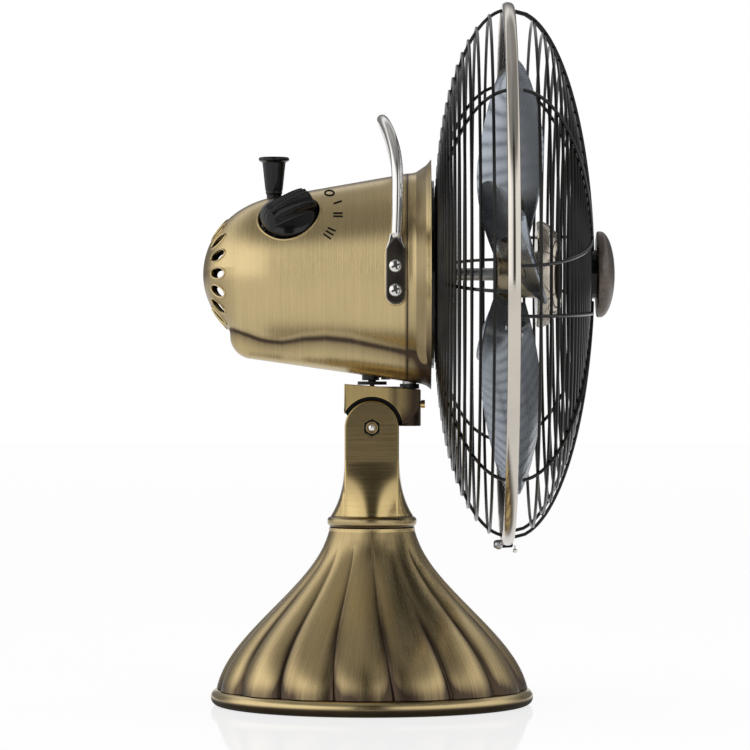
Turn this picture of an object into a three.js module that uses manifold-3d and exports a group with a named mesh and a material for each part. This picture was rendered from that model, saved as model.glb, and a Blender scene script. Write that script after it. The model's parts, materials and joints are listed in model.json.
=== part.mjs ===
// Oscillating table fan with a wire grille, a domed motor housing and a fluted bell base.
// Millimetres, +Z up, +X out of the front of the grille. The origin lies on the base's axis,
// at the height of the surface that the fan stands on.
import * as THREE from 'three';
import { mergeVertices } from 'three/addons/utils/BufferGeometryUtils.js';
import Module from 'manifold-3d';

const wasm = await Module();
wasm.setup();

// Driving dimensions

const clearance = 0.3;
const runningGap = 0.6;
const overrun = 2;
const weldDistance = 0.0005;
const footSegments = 36;
const rimSegments = 30;
const shellSegments = 28;
const hollowSegments = 20;

const neckHeight = 56.4;
const blockRise = 24.5;
const headRise = 73.5;
const swivelReach = 24;

const footHeight = 1.6;
const footRadius = 6.5;
const footCircle = 89;
const footCount = 4;
const plateThickness = 2;
const ringRadius = 103;
const ringInnerRadius = 80;
const ringDepth = 10.5;
const ringEdgeRadius = 4.5;
const ballastRadius = 86;
const ballastThickness = 5;
const tieRadius = 4;
const tieHeadRadius = 8;
const tieHeadHeight = 4;
const tieGrip = 14;

const bellTopHeight = 113;
const bellFootRadius = 99.5;
const bellTopRadius = 27;
const bellWall = 1.6;
const bellCrown = 5;
const fluteDepth = 4.2;
const fluteCount = 16;
const fluteSwirl = THREE.MathUtils.degToRad(-8);
const fluteTurn = THREE.MathUtils.degToRad(-92.5);
const bellStraightShare = 0.3;

const glandHeight = 30;
const glandRadius = 5;
const glandBore = 3.2;
const glandFlange = 7.5;
const glandFlangeThickness = 2;
const glandTail = 5;
const glandTurn = THREE.MathUtils.degToRad(132.5);

const collarHeight = 7;
const collarRadius = 28.5;
const collarRoundness = 3.2;

const neckFootRadius = 26.3;
const neckFootDepth = 19.6;
const neckFlarePower = 4;
const neckRowShares = [0, 0.1, 0.2, 0.35, 0.55, 1];
const cheekHalfWidth = 17.3;
const cheekHalfDepth = 15;
const slotDepth = 21;
const tongueHalf = 6;
const washerThickness = 1;
const washerRadius = 9;
const tiltBoltRadius = 2.5;
const tiltHeadRadius = 4.6;
const tiltHeadHeight = 2.6;
const nutFlats = 9.2;
const nutHeight = 3;
const nutRecess = 3.6;

const blockRear = -17.5;
const blockNoseReach = 6.5;
const blockNoseDrop = 10.5;
const blockPointReach = 18.6;
const blockPointDrop = 21.5;
const blockCutGap = 2.4;
const blockRimWall = 1.2;
const blockRimRise = 3.4;
const socketRadius = 7.2;
const socketDepth = 23.5;
const swivelRadius = 4.5;
const swivelTipGap = 1;
const setScrewRadius = 2;
const setScrewHeadRadius = 2.6;
const setScrewHead = 2.4;

const swingHalf = THREE.MathUtils.degToRad(35);
const crankThrow = 7;
const crankRadius = 9.4;
const crankThickness = 2.2;
const crankShaftRadius = 2.6;
const crankPinRadius = 1.6;
const crankPinLength = 0.8;
const linkLength = 24;
const linkThickness = 1.4;
const linkHalfWidth = 3.2;
const linkStudRadius = 2;

const domeCentre = -60;
const domeLength = 48;
const domeRadius = 50;
const seamReach = 23.7;
const seamRadius = 63.3;
const frontReach = 37.8;
const lipRadius = 71.2;
const housingWall = 1.6;
const bellyRear = -90;
const bellyRearDrop = 45;
const bellyHeelReach = -82;
const bellyHeelDrop = 53.5;
const bellyFrontDrop = 70.8;
const bellyMiddleReach = -29;
const bellyRearHalf = 17;
const bellyHeelHalf = 23;
const bellyMiddleHalf = 36;
const bellyFrontHalf = 42;
const bellyCorner = 15;
const bellyTopDrop = 18;
const ventShare = 0.79;
const ventLength = 12.5;
const ventWidth = 6.6;
const ventCount = 16;

const frameThickness = 3;
const neckTubeRadius = 18;
const neckTubeLength = 13;
const shaftRadius = 4;
const statorRadius = 40;
const statorBore = 22;
const statorLength = 44;
const coreRadius = 21.2;
const coreLength = 38;
const gearboxRear = -70;
const gearboxRoom = 28;
const gearboxFootHalf = 16;
const gearboxFootRise = 41;
const gearboxFootRear = -38;
const gearboxRiserFront = -12;

const knobReach = -52;
const knobElevation = THREE.MathUtils.degToRad(46.5);
const knobRadius = 18.4;
const knobSink = 3.8;
const knobHeight = 13.5;
const knobGripHeight = 4;
const knobGripHalf = 4;
const knobGripTurn = 120;
const knobGripShare = 0.84;
const knobOutlineShares = [[0, 0], [1, 0], [1, 0.45], [0.86, 0.8], [0.6, 1], [0, 1]];
const knobSpindleRadius = 3;
const knobSpindleDepth = 8;
const switchPlateThickness = 2;
const switchDrumRadius = 10;
const switchDrumLength = 9;

const pullReach = -62.7;
const pullRise = 25;
const pullFlangeRadius = 9.9;
const pullFlangeThickness = 3.4;
const pullWaistRadius = 4.6;
const pullShoulderRadius = 6.2;
const pullTravel = 6;
const pullRodRadius = 2;
const pullRodGrip = 3;
const pullStemDepth = 5;

const handleReach = 15.1;
const handleRod = 3.3;
const handlePlateHalf = 5.6;
const handlePlateThickness = 2.6;
const handlePlateLow = -19.9;
const handlePlateHigh = 20.3;
const handleRise = 78.7;
const handleLean = 8.8;
const handleBulge = 1.2;
const handleBowShares = [
  [0, 0, 1], [0.6, 0.22, 1], [1, 0.4, 0.99], [0.04, 0.58, 0.95], [-0.31, 0.784, 0.8],
  [-0.84, 0.964, 0.45], [-1, 1, 0],
];
const handleScrewLow = -11.5;
const handleScrewHigh = 3.6;
const handleScrewRadius = 1.8;
const handleScrewHeadRadius = 4.2;
const handleScrewHead = 1.8;
const handleScrewGrip = 7;

const guardPlateEdge = 4;
const guardPlateThickness = 1.5;
const ringNutRadius = 27;
const ringNutThickness = 7;
const wireRadius = 1;
const rimWireRadius = 1.4;
const wirePitch = 32;
const weldDepth = 0.7;
const rimRadius = 168.4;
const rearCentreRadius = 45;
const rearInnerRadius = 56;
const bandPlane = 89.5;
const bandCrown = 2.2;
const bandWidth = 9;
const bandWall = 1.2;
const bandSplit = 3;
const frontDepth = 51;
const capRadius = 27.5;
const capHeight = 11.5;
const capEdge = 2;
const capPlateRadius = 24;
const capPlateThickness = 1.5;
const frontInnerRadius = 19;
const rearSpokeCount = 8;
const bentSpokeCount = 4;
const spokePairHalf = 15;
const spokeCorner = 22.7;
const spokeCornerRound = 8;
const spokeTurn = THREE.MathUtils.degToRad(5);
const lugBack = 8;
const lugThickness = 1.4;
const lugHalfHeight = 3.4;
const lugInset = 0.5;
const clampScrewRadius = 1.3;
const clampHeadRadius = 2.7;
const clampHeadHeight = 1.8;
const clampScrewReach = 4;

const bladeCount = 4;
const bladePlane = 88;
const bladeTipRadius = 143;
const bladeRootRadius = 20;
const bladeChord = 88;
const bladeRootChord = 34;
const bladeThickness = 1.4;
const bladeCamber = 5;
const bladeWidestShare = 0.62;
const bladeTipRoundShare = 0.93;
const bladeRootPitch = THREE.MathUtils.degToRad(34);
const bladeTipPitch = THREE.MathUtils.degToRad(22);
const bladeTurn = THREE.MathUtils.degToRad(12);
const armTipRadius = 46;
const armRootRadius = 10;
const armThickness = 1.6;
const armWidthShare = 0.62;
const hubRadius = 15;
const hubLength = 26;
const spinnerRadius = 34;
const spinnerNoseRadius = 24;
const spinnerLength = 16;
const spinnerWall = 2;
const spinnerNoseReach = 121;

// Sizes worked out from the driving dimensions

const ringBottom = footHeight + clearance;
const plateBottom = ringBottom + clearance * 2;
const plateTop = plateBottom + plateThickness;
const ringTop = ringBottom + ringDepth;
const bellBottom = ringTop + clearance;
const ballastBottom = ringTop + clearance;
const neckBottom = bellTopHeight + collarHeight + clearance * 2;
const pivotHeight = neckBottom + neckHeight;
const blockTop = pivotHeight + blockRise;
const blockNose = swivelReach + blockNoseReach;
const axisHeight = blockTop + headRise;
const crankCentreY = crankThrow / Math.sin(swingHalf);
const crankReach = swivelReach - linkLength;
const linkBottom = blockTop + clearance;
const linkTop = linkBottom + linkThickness;
const frameFront = frontReach - clearance;
const frameRear = frameFront - frameThickness;
const bellySlope = (bellyFrontDrop - bellyHeelDrop) / (frontReach - bellyHeelReach);
const gearboxFootDrop = bellyDrop(gearboxFootRear) - housingWall - runningGap;
const gearboxHalf = domeRadius - gearboxRoom;
const ventReach = domeCentre - domeLength * ventShare;
const knobBase = domeRadius - knobSink;
const pullTop = domeRadius + pullRise;
const guardPlateRadius = rearInnerRadius + guardPlateEdge;
const guardPlateRear = frontReach + clearance;
const guardPlateFront = guardPlateRear + guardPlateThickness;
const bandFloor = rimRadius + rimWireRadius + clearance;
const bandRadius = bandFloor + bandWall + bandCrown;
const lugDrop = bandRadius - lugInset;
const rimInset = rimWireRadius + clearance / 2;
const rearRimReach = bandPlane - rimInset;
const frontRimReach = bandPlane + rimInset;
const rearCentreReach = guardPlateFront + clearance + rimWireRadius;
const rearDepth = rearRimReach - rearCentreReach;
const slotHalf = tongueHalf + washerThickness + clearance * 2;
const statorRear = frameRear - clearance - statorLength;
const handleSide = seamRadius + clearance;
const swivelWasherRadius = crankCentreY * Math.cos(swingHalf) - linkHalfWidth - clearance * 2;
const knobPocketRadius = knobRadius + runningGap;
const switchPlateRadius = knobPocketRadius - clearance;
const spinnerRear = spinnerNoseReach - spinnerLength;
const hubFront = spinnerRear - clearance;

// Shape helpers

function toSolid(geometry) {
  const bare = geometry.clone();
  bare.deleteAttribute('normal');
  bare.deleteAttribute('uv');
  const merged = mergeVertices(bare, weldDistance);
  const places = merged.getAttribute('position').array;
  const corners = merged.index.array;
  const kept = [];
  let volume = 0;
  for (let i = 0; i < corners.length; i += 3) {
    const [a, b, c] = [corners[i], corners[i + 1], corners[i + 2]];
    if (a === b || b === c || c === a) continue;
    kept.push(a, b, c);
    const [p, q, r] = [a, b, c].map((k) => new THREE.Vector3().fromArray(places, k * 3));
    volume += p.dot(q.cross(r));
  }
  if (volume < 0) kept.reverse();
  const mesh = new wasm.Mesh({
    numProp: 3,
    vertProperties: Float32Array.from(places),
    triVerts: Uint32Array.from(kept),
  });
  return new wasm.Manifold(mesh);
}

function toGeometry(solid) {
  const mesh = solid.getMesh();
  const geometry = new THREE.BufferGeometry();
  geometry.setAttribute('position', new THREE.BufferAttribute(mesh.vertProperties, mesh.numProp));
  geometry.setIndex(new THREE.BufferAttribute(mesh.triVerts, 1));
  geometry.computeVertexNormals();
  return geometry;
}

const turnTo = {
  x: (geometry) => geometry.rotateZ(-Math.PI / 2),
  y: (geometry) => geometry,
  z: (geometry) => geometry.rotateX(Math.PI / 2),
};

// A turned piece: the profile lists [radius, place along the axis].
function turned(axis, profile, segments = 32) {
  const points = profile.map(([radius, along]) => new THREE.Vector2(Math.max(radius, 0), along));
  return toSolid(turnTo[axis](new THREE.LatheGeometry(points, segments)));
}

function drum(axis, radius, from, to, segments = 16) {
  return turned(axis, [[0, from], [radius, from], [radius, to], [0, to]], segments);
}

function annulus(axis, outer, inner, from, to, segments = 24) {
  return turned(axis, [[inner, from], [outer, from], [outer, to], [inner, to], [inner, from]], segments);
}

function block(low, high) {
  const size = high.map((value, i) => value - low[i]);
  const middle = high.map((value, i) => (value + low[i]) / 2);
  return toSolid(new THREE.BoxGeometry(...size).translate(...middle));
}

// A skin over rings of equally many points, closed at both ends. The ends are fans about their
// middles, or strips from side to side where the rings are long and thin.
function loft(rings, stripEnds = false) {
  const places = [];
  const corners = [];
  const count = rings[0].length;
  rings.forEach((ring) => ring.forEach((point) => places.push(point.x, point.y, point.z)));
  for (let row = 0; row + 1 < rings.length; row += 1) {
    for (let i = 0; i < count; i += 1) {
      const a = row * count + i;
      const b = row * count + ((i + 1) % count);
      corners.push(a, b, b + count, a, b + count, a + count);
    }
  }
  [0, rings.length - 1].forEach((row) => {
    if (stripEnds) {
      for (let i = 0; i + 1 < count / 2; i += 1) {
        const [a, b, c, d] = [i, i + 1, count - 2 - i, count - 1 - i].map((k) => row * count + k);
        corners.push(...(row === 0 ? [a, c, b, a, d, c] : [a, b, c, a, c, d]));
      }
      return;
    }
    const middle = new THREE.Vector3();
    rings[row].forEach((point) => middle.add(point));
    middle.divideScalar(count);
    const tip = places.length / 3;
    places.push(middle.x, middle.y, middle.z);
    for (let i = 0; i < count; i += 1) {
      const a = row * count + i;
      const b = row * count + ((i + 1) % count);
      corners.push(...(row === 0 ? [tip, b, a] : [tip, a, b]));
    }
  });
  const geometry = new THREE.BufferGeometry();
  geometry.setAttribute('position', new THREE.Float32BufferAttribute(places, 3));
  geometry.setIndex(corners);
  return toSolid(geometry);
}

// Points round a rectangle with round corners, by its half sizes.
function roundedOutline(halfU, halfV, corner, perCorner = 5) {
  const radius = Math.min(corner, halfU, halfV);
  const points = [];
  [[1, 1], [-1, 1], [-1, -1], [1, -1]].forEach(([signU, signV], quarter) => {
    for (let i = 0; i <= perCorner; i += 1) {
      const angle = ((quarter + i / perCorner) * Math.PI) / 2;
      points.push([
        signU * (halfU - radius) + radius * Math.cos(angle),
        signV * (halfV - radius) + radius * Math.sin(angle),
      ]);
    }
  });
  return points;
}

function wire(points, radius, steps, sides = 4, closed = false) {
  const outline = new THREE.Shape();
  for (let i = 0; i < sides; i += 1) {
    const angle = ((i + 1 / 2) * 2 * Math.PI) / sides;
    const [u, v] = [radius * Math.cos(angle), radius * Math.sin(angle)];
    if (i === 0) outline.moveTo(u, v);
    else outline.lineTo(u, v);
  }
  const path = new THREE.CatmullRomCurve3(points, closed);
  return toSolid(new THREE.ExtrudeGeometry(outline, { steps, extrudePath: path, bevelEnabled: false }));
}

function hexagon(axis, flats, from, to) {
  return drum(axis, flats / Math.sqrt(3), from, to, 6);
}

function union(solids) {
  return solids.reduce((sum, solid) => sum.add(solid));
}

function moved(solid, x, y, z) {
  return solid.translate([x, y, z]);
}

const finishes = {
  brass: { color: 0xa08a55, roughness: 0.32, metalness: 1 },
  agedBrass: { color: 0x8a7648, roughness: 0.38, metalness: 1 },
  darkBrass: { color: 0x4a4136, roughness: 0.4, metalness: 1 },
  chrome: { color: 0xd6d3cc, roughness: 0.12, metalness: 1 },
  steel: { color: 0x9aa0a8, roughness: 0.35, metalness: 1 },
  blade: { color: 0x7d848e, roughness: 0.3, metalness: 0.9 },
  blackWire: { color: 0x1b1916, roughness: 0.35, metalness: 0.6 },
  blackPlastic: { color: 0x0d0d0d, roughness: 0.25, metalness: 0 },
  iron: { color: 0x3b3a38, roughness: 0.7, metalness: 0.8 },
  rubber: { color: 0x161616, roughness: 0.85, metalness: 0 },
  copper: { color: 0x8c4a2a, roughness: 0.5, metalness: 0.9 },
};

const materials = Object.fromEntries(Object.entries(finishes).map(([name, look]) => [
  name,
  new THREE.MeshStandardMaterial({ ...look, flatShading: true }),
]));

function addPiece(group, name, solid, finish) {
  const mesh = new THREE.Mesh(toGeometry(solid), materials[finish]);
  mesh.name = name;
  group.add(mesh);
  return mesh;
}

// Base: feet, plate, foot ring, ballast, fluted bell, cord gland and collar

function bellRadius(height) {
  const down = THREE.MathUtils.clamp((bellTopHeight - height) / (bellTopHeight - bellBottom), 0, 1);
  const swell = Math.sin((down * Math.PI) / 2) ** 2;
  const share = bellStraightShare * down + (1 - bellStraightShare) * swell;
  return bellTopRadius + (bellFootRadius - bellTopRadius) * share;
}

function bellRing(height, pointsPerFlute) {
  const down = (bellTopHeight - height) / (bellTopHeight - bellBottom);
  const depth = fluteDepth * Math.sin((down * Math.PI) / 2);
  const count = fluteCount * pointsPerFlute;
  const ring = [];
  for (let i = 0; i < count; i += 1) {
    const angle = (i / count) * 2 * Math.PI;
    const lobe = Math.abs(Math.cos((fluteCount * angle) / 2));
    const radius = bellRadius(height) - depth * (1 - lobe);
    const turn = angle + fluteTurn + fluteSwirl * (1 - down);
    ring.push(new THREE.Vector3(radius * Math.cos(turn), radius * Math.sin(turn), height));
  }
  return ring;
}

function bellShell() {
  const rows = 6;
  const rings = [];
  const hollow = [[0, bellBottom - overrun]];
  for (let row = 0; row <= rows; row += 1) {
    const height = bellBottom + ((bellTopHeight - bellBottom) * row) / rows;
    rings.push(bellRing(height, 4));
    if (height < bellTopHeight - bellCrown) {
      const inset = bellWall + fluteDepth;
      hollow.push([bellRadius(height) - inset, row === 0 ? bellBottom - overrun : height]);
    }
  }
  const roof = bellTopHeight - bellCrown;
  hollow.push([bellRadius(roof) - bellWall - fluteDepth, roof], [0, roof]);
  const boltHole = drum('z', tieRadius + clearance, roof - overrun, bellTopHeight + overrun, 12);
  return loft(rings).subtract(turned('z', hollow, 20)).subtract(boltHole).subtract(glandCut());
}

function placeAtGland(solid) {
  const reach = bellRadius(glandHeight);
  const turn = THREE.MathUtils.radToDeg(glandTurn);
  return solid.translate([reach, 0, glandHeight]).rotate([0, 0, turn]);
}

function glandCut() {
  const depth = bellWall + fluteDepth * 2 + overrun * 2;
  return placeAtGland(drum('x', glandRadius + clearance, -depth, depth, 10));
}

function cordGland() {
  const inner = -(bellWall + fluteDepth + glandTail);
  const face = fluteDepth / 2 + clearance;
  const body = drum('x', glandRadius, inner, face + overrun, 10);
  const flange = drum('x', glandFlange, face + overrun / 2, face + overrun / 2 + glandFlangeThickness, 14);
  const bore = drum('x', glandBore, inner - overrun, face + overrun + glandFlangeThickness * 2, 8);
  return placeAtGland(body.add(flange).subtract(bore));
}

function rubberFoot(index) {
  const angle = ((index + 1 / 2) * 2 * Math.PI) / footCount;
  const [x, y] = [footCircle * Math.cos(angle), footCircle * Math.sin(angle)];
  return moved(drum('z', footRadius, 0, footHeight, 14), x, y, 0);
}

function bottomPlate() {
  return drum('z', ringInnerRadius - clearance, plateBottom, plateTop, footSegments);
}

function ballastDisc() {
  const top = ballastBottom + ballastThickness;
  return annulus('z', ballastRadius, tieRadius + clearance, ballastBottom, top, 28);
}

function footRing() {
  const profile = [[ringInnerRadius, ringBottom], [ringRadius - ringEdgeRadius, ringBottom]];
  const steps = 4;
  for (let i = 0; i <= steps; i += 1) {
    const angle = -Math.PI / 2 + (i / steps) * Math.PI;
    const middle = (ringBottom + ringTop) / 2;
    const rise = (ringDepth / 2) * Math.sin(angle);
    profile.push([ringRadius - ringEdgeRadius + ringEdgeRadius * Math.cos(angle), middle + rise]);
  }
  profile.push([ringInnerRadius, ringTop], [ringInnerRadius, ringBottom]);
  return turned('z', profile, footSegments);
}

function collar() {
  const low = bellTopHeight + clearance;
  const high = low + collarHeight;
  const profile = [[tieRadius + clearance, low], [collarRadius - collarRoundness, low]];
  const steps = 4;
  for (let i = 0; i <= steps; i += 1) {
    const angle = -Math.PI / 2 + (i / steps) * Math.PI;
    const rise = (low + high) / 2 + (collarHeight / 2) * Math.sin(angle);
    profile.push([collarRadius - collarRoundness + collarRoundness * Math.cos(angle), rise]);
  }
  profile.push([tieRadius + clearance, high], [tieRadius + clearance, low]);
  return turned('z', profile, 20);
}

function tieBolt() {
  const seat = ballastBottom - clearance;
  const head = hexagon('z', tieHeadRadius * 2, seat - tieHeadHeight, seat);
  const shank = drum('z', tieRadius, seat - overrun, neckBottom + tieGrip, 12);
  return head.add(shank);
}

// Neck: a round foot that narrows into two cheeks with a slot between them

// The front and back stay flat and keep their width, while the sides bow out towards the foot.
function neckSection(share) {
  const flare = (1 - share) ** neckFlarePower;
  const bow = (neckFootRadius - cheekHalfWidth) * flare;
  const halfDepth = cheekHalfDepth + (neckFootDepth - cheekHalfDepth) * flare;
  const height = neckBottom + neckHeight * share;
  const ring = [];
  const steps = 6;
  [1, -1].forEach((side) => {
    for (let i = 0; i <= steps; i += 1) {
      const angle = (i / steps - 1 / 2) * Math.PI;
      const across = cheekHalfWidth + bow * Math.cos(angle);
      ring.push(new THREE.Vector3(side * across, side * halfDepth * Math.sin(angle), height));
    }
  });
  return ring;
}

function atPivot(solid) {
  return moved(solid, 0, 0, pivotHeight);
}

function neckFork() {
  const column = loft(neckRowShares.map(neckSection));
  const top = drum('y', cheekHalfWidth, -cheekHalfDepth, cheekHalfDepth, 24);
  const wide = cheekHalfWidth + overrun;
  const slot = block([-wide, -slotHalf, pivotHeight - slotDepth], [wide, slotHalf, pivotHeight + wide]);
  const deep = cheekHalfDepth + overrun;
  const boltHole = drum('y', tiltBoltRadius + clearance, -deep, deep, 12);
  const nutPocket = hexagon('y', nutFlats + clearance * 4, -deep, -cheekHalfDepth + nutRecess);
  const headSeat = cheekHalfDepth - tiltHeadHeight - clearance;
  const headPocket = drum('y', tiltHeadRadius + clearance, headSeat, deep, 14);
  const tapEnd = neckBottom + tieGrip + clearance;
  const tapping = drum('z', tieRadius + clearance, neckBottom - overrun, tapEnd, 12);
  return column.add(atPivot(top)).subtract(slot).subtract(tapping)
    .subtract(atPivot(union([boltHole, nutPocket, headPocket])));
}

function tiltBolt() {
  const headInner = cheekHalfDepth - tiltHeadHeight;
  const head = drum('y', tiltHeadRadius, headInner, cheekHalfDepth, 14);
  const shank = drum('y', tiltBoltRadius, -cheekHalfDepth + clearance, headInner + overrun / 2, 12);
  return atPivot(head.add(shank));
}

function tiltNut() {
  const inner = -cheekHalfDepth + nutRecess - clearance;
  const nut = hexagon('y', nutFlats, inner - nutHeight, inner);
  const bore = drum('y', tiltBoltRadius + clearance, inner - nutHeight - overrun, inner + overrun, 12);
  return atPivot(nut.subtract(bore));
}

function tiltWasher(side) {
  const near = tongueHalf + clearance;
  const far = near + washerThickness;
  const [low, high] = side < 0 ? [-far, -near] : [near, far];
  const bore = drum('y', tiltBoltRadius + clearance, low - overrun, high + overrun, 12);
  return atPivot(drum('y', washerRadius, low, high, 16).subtract(bore));
}

// Tilt block: carries the head on its vertical socket and turns on the tilt bolt

function blockFlanks() {
  const outline = new THREE.Shape();
  outline.moveTo(blockRear, pivotHeight);
  outline.lineTo(blockPointReach, pivotHeight);
  outline.lineTo(blockPointReach, blockTop - blockPointDrop);
  outline.quadraticCurveTo(
    (blockPointReach + blockNose) / 2 + clearance,
    blockTop - (blockPointDrop * 3 + blockNoseDrop) / 4,
    blockNose,
    blockTop - blockNoseDrop,
  );
  outline.lineTo(blockNose, blockTop);
  outline.lineTo(blockRear, blockTop);
  outline.closePath();
  const depth = cheekHalfDepth * 2;
  const slab = new THREE.ExtrudeGeometry(outline, { depth, bevelEnabled: false, curveSegments: 5 });
  const deep = cheekHalfDepth + overrun;
  const cut = atPivot(drum('y', cheekHalfWidth + blockCutGap, -deep, deep, 28));
  const below = block([blockRear - overrun, -deep, pivotHeight - overrun], [0, deep, pivotHeight + overrun]);
  return toSolid(slab.rotateX(Math.PI / 2).translate(0, cheekHalfDepth, 0)).subtract(cut).subtract(below);
}

// A thin rim on the knob's side hides the crank. It falls from the rear to nothing at the nose.
function blockRim() {
  const outline = new THREE.Shape();
  outline.moveTo(blockRear, blockTop - overrun);
  outline.lineTo(blockNose, blockTop - overrun);
  outline.lineTo(blockNose, blockTop);
  outline.lineTo(blockRear, blockTop + blockRimRise);
  outline.closePath();
  const slab = new THREE.ExtrudeGeometry(outline, { depth: blockRimWall, bevelEnabled: false });
  return toSolid(slab.rotateX(Math.PI / 2).translate(0, blockRimWall - cheekHalfDepth, 0));
}

function tiltBlock() {
  const tongueRadius = cheekHalfWidth - blockCutGap;
  const tongueDisc = atPivot(drum('y', tongueRadius, -tongueHalf, tongueHalf, 20));
  const web = block(
    [-tongueRadius, -tongueHalf, pivotHeight],
    [tongueRadius, tongueHalf, blockTop - overrun],
  );
  const boltHole = atPivot(drum('y', tiltBoltRadius + clearance, -cheekHalfDepth, cheekHalfDepth, 12));
  const socket = drum('z', socketRadius, blockTop - socketDepth, blockTop, 16);
  const bore = drum('z', swivelRadius + clearance, swivelFoot() - clearance, blockTop + overrun, 14);
  const screwHole = moved(drum('x', setScrewRadius + clearance, 0, blockNose, 10), 0, 0, setScrewHeight());
  const stud = drum('z', linkStudRadius, blockTop - overrun, linkTop, 10);
  return union([blockFlanks(), blockRim(), tongueDisc, web, moved(socket, swivelReach, 0, 0)])
    .subtract(boltHole).subtract(moved(bore.add(screwHole), swivelReach, 0, 0))
    .add(moved(stud, swivelReach, crankCentreY, 0));
}

function swivelFoot() {
  return blockTop - socketDepth + swivelTipGap * 2;
}

function setScrewHeight() {
  return blockTop - blockNoseDrop + overrun / 2;
}

function setScrew() {
  const headRear = Math.max(blockNose - swivelReach, socketRadius) + clearance;
  const shank = drum('x', setScrewRadius, swivelRadius + runningGap, headRear + setScrewHead / 2, 12);
  const head = drum('x', setScrewHeadRadius, headRear, headRear + setScrewHead, 12);
  return moved(shank.add(head), swivelReach, 0, setScrewHeight());
}

function linkArm() {
  const bar = block(
    [crankReach, crankCentreY - linkHalfWidth, linkBottom],
    [swivelReach, crankCentreY + linkHalfWidth, linkTop],
  );
  const end = drum('z', linkHalfWidth, linkBottom, linkTop, 14);
  const studHole = drum('z', linkStudRadius + clearance, linkBottom - overrun, linkTop + overrun, 10);
  const pinHole = drum('z', crankPinRadius + clearance, linkBottom - overrun, linkTop + overrun, 10);
  return union([bar, moved(end, crankReach, crankCentreY, 0), moved(end, swivelReach, crankCentreY, 0)])
    .subtract(moved(studHole, swivelReach, crankCentreY, 0))
    .subtract(moved(pinHole, crankReach, crankCentreY, 0));
}

// Head: housing with its belly, front bezel, motor, gearbox, switch and handle.
// Everything from here on is drawn about the fan's own axis.

function housingRadius(reach) {
  if (reach < domeCentre) {
    const back = Math.min((domeCentre - reach) / domeLength, 1);
    return domeRadius * Math.sqrt(1 - back * back);
  }
  if (reach < seamReach) {
    return domeRadius + ((seamRadius - domeRadius) * (reach - domeCentre)) / (seamReach - domeCentre);
  }
  const out = Math.min((reach - seamReach) / (frontReach - seamReach), 1);
  return seamRadius + (lipRadius - seamRadius) * out * out;
}

function housingBody(inset) {
  const profile = [];
  const domeSteps = inset > 0 ? 4 : 6;
  for (let i = 0; i <= domeSteps; i += 1) {
    const angle = ((i / domeSteps) * Math.PI) / 2;
    profile.push([
      (domeRadius - inset) * Math.sin(angle),
      domeCentre - (domeLength - inset) * Math.cos(angle),
    ]);
  }
  [0, 1 / 2, 1].forEach((share) => {
    const reach = seamReach + (frontReach - seamReach) * share;
    profile.push([housingRadius(reach) - inset, reach]);
  });
  const end = inset > 0 ? frontReach + overrun : frontReach;
  profile[profile.length - 1][1] = end;
  profile.push([0, end]);
  return turned('x', profile, inset > 0 ? hollowSegments : shellSegments);
}

function bellyDrop(reach) {
  return bellyHeelDrop + (reach - bellyHeelReach) * bellySlope;
}

function bellyBody(inset) {
  const middleReach = (bellyRear + bellyHeelReach) / 2;
  const end = inset > 0 ? frontReach + overrun : frontReach;
  const rows = [
    [bellyRear + inset, bellyRearDrop, bellyRearHalf],
    [middleReach + inset, (bellyRearDrop + bellyHeelDrop * 3) / 4, (bellyRearHalf + bellyHeelHalf) / 2],
    [bellyHeelReach + inset, bellyHeelDrop, bellyHeelHalf],
    [bellyMiddleReach, bellyDrop(bellyMiddleReach), bellyMiddleHalf],
    [end, bellyFrontDrop, bellyFrontHalf],
  ];
  return loft(rows.map(([reach, drop, half]) => {
    const middle = (drop + bellyTopDrop) / 2;
    const halfHeight = (drop - bellyTopDrop) / 2 - inset;
    return roundedOutline(half - inset, halfHeight, bellyCorner - inset)
      .map(([u, v]) => new THREE.Vector3(reach, u, v - middle));
  }));
}

function housingSkin() {
  const outer = housingBody(0).add(bellyBody(0));
  const inner = housingBody(housingWall).add(bellyBody(housingWall));
  return outer.subtract(inner);
}

function floorHoles() {
  const low = -bellyFrontDrop - overrun;
  const high = -bellyTopDrop * 2;
  const swivel = moved(drum('z', swivelRadius + runningGap, low, high, 14), swivelReach, 0, 0);
  const crank = moved(drum('z', crankShaftRadius + runningGap, low, high, 12), crankReach, crankCentreY, 0);
  return swivel.add(crank);
}

function handleScrewHoles(past) {
  const long = seamRadius + past + overrun;
  return union([handleScrewLow, handleScrewHigh].map((height) => moved(
    drum('y', handleScrewRadius + clearance, -long, long, 8), handleReach, 0, height)));
}

// An oval slot along the dome's slope, cut square to it.
function ventCuts() {
  const back = (domeCentre - ventReach) / domeLength;
  const radius = domeRadius * Math.sqrt(1 - back * back);
  const slope = Math.atan2(back * domeRadius, Math.sqrt(1 - back * back) * domeLength);
  const outline = roundedOutline(ventLength / 2, ventWidth / 2, ventWidth / 2, 1);
  const depth = housingWall + overrun;
  const tilt = THREE.MathUtils.radToDeg(-slope);
  const ends = [-depth, depth].map((height) => outline.map(([u, v]) => new THREE.Vector3(u, v, height)));
  const plug = loft(ends).rotate([0, tilt, 0]).translate([ventReach, 0, radius]);
  const cuts = [];
  for (let i = 0; i < ventCount; i += 1) cuts.push(plug.rotate([(i * 360) / ventCount, 0, 0]));
  return union(cuts);
}

function placeAtKnob(solid) {
  const lean = 90 - THREE.MathUtils.radToDeg(knobElevation);
  return solid.rotate([lean, 0, 0]).translate([knobReach, 0, 0]);
}

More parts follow.
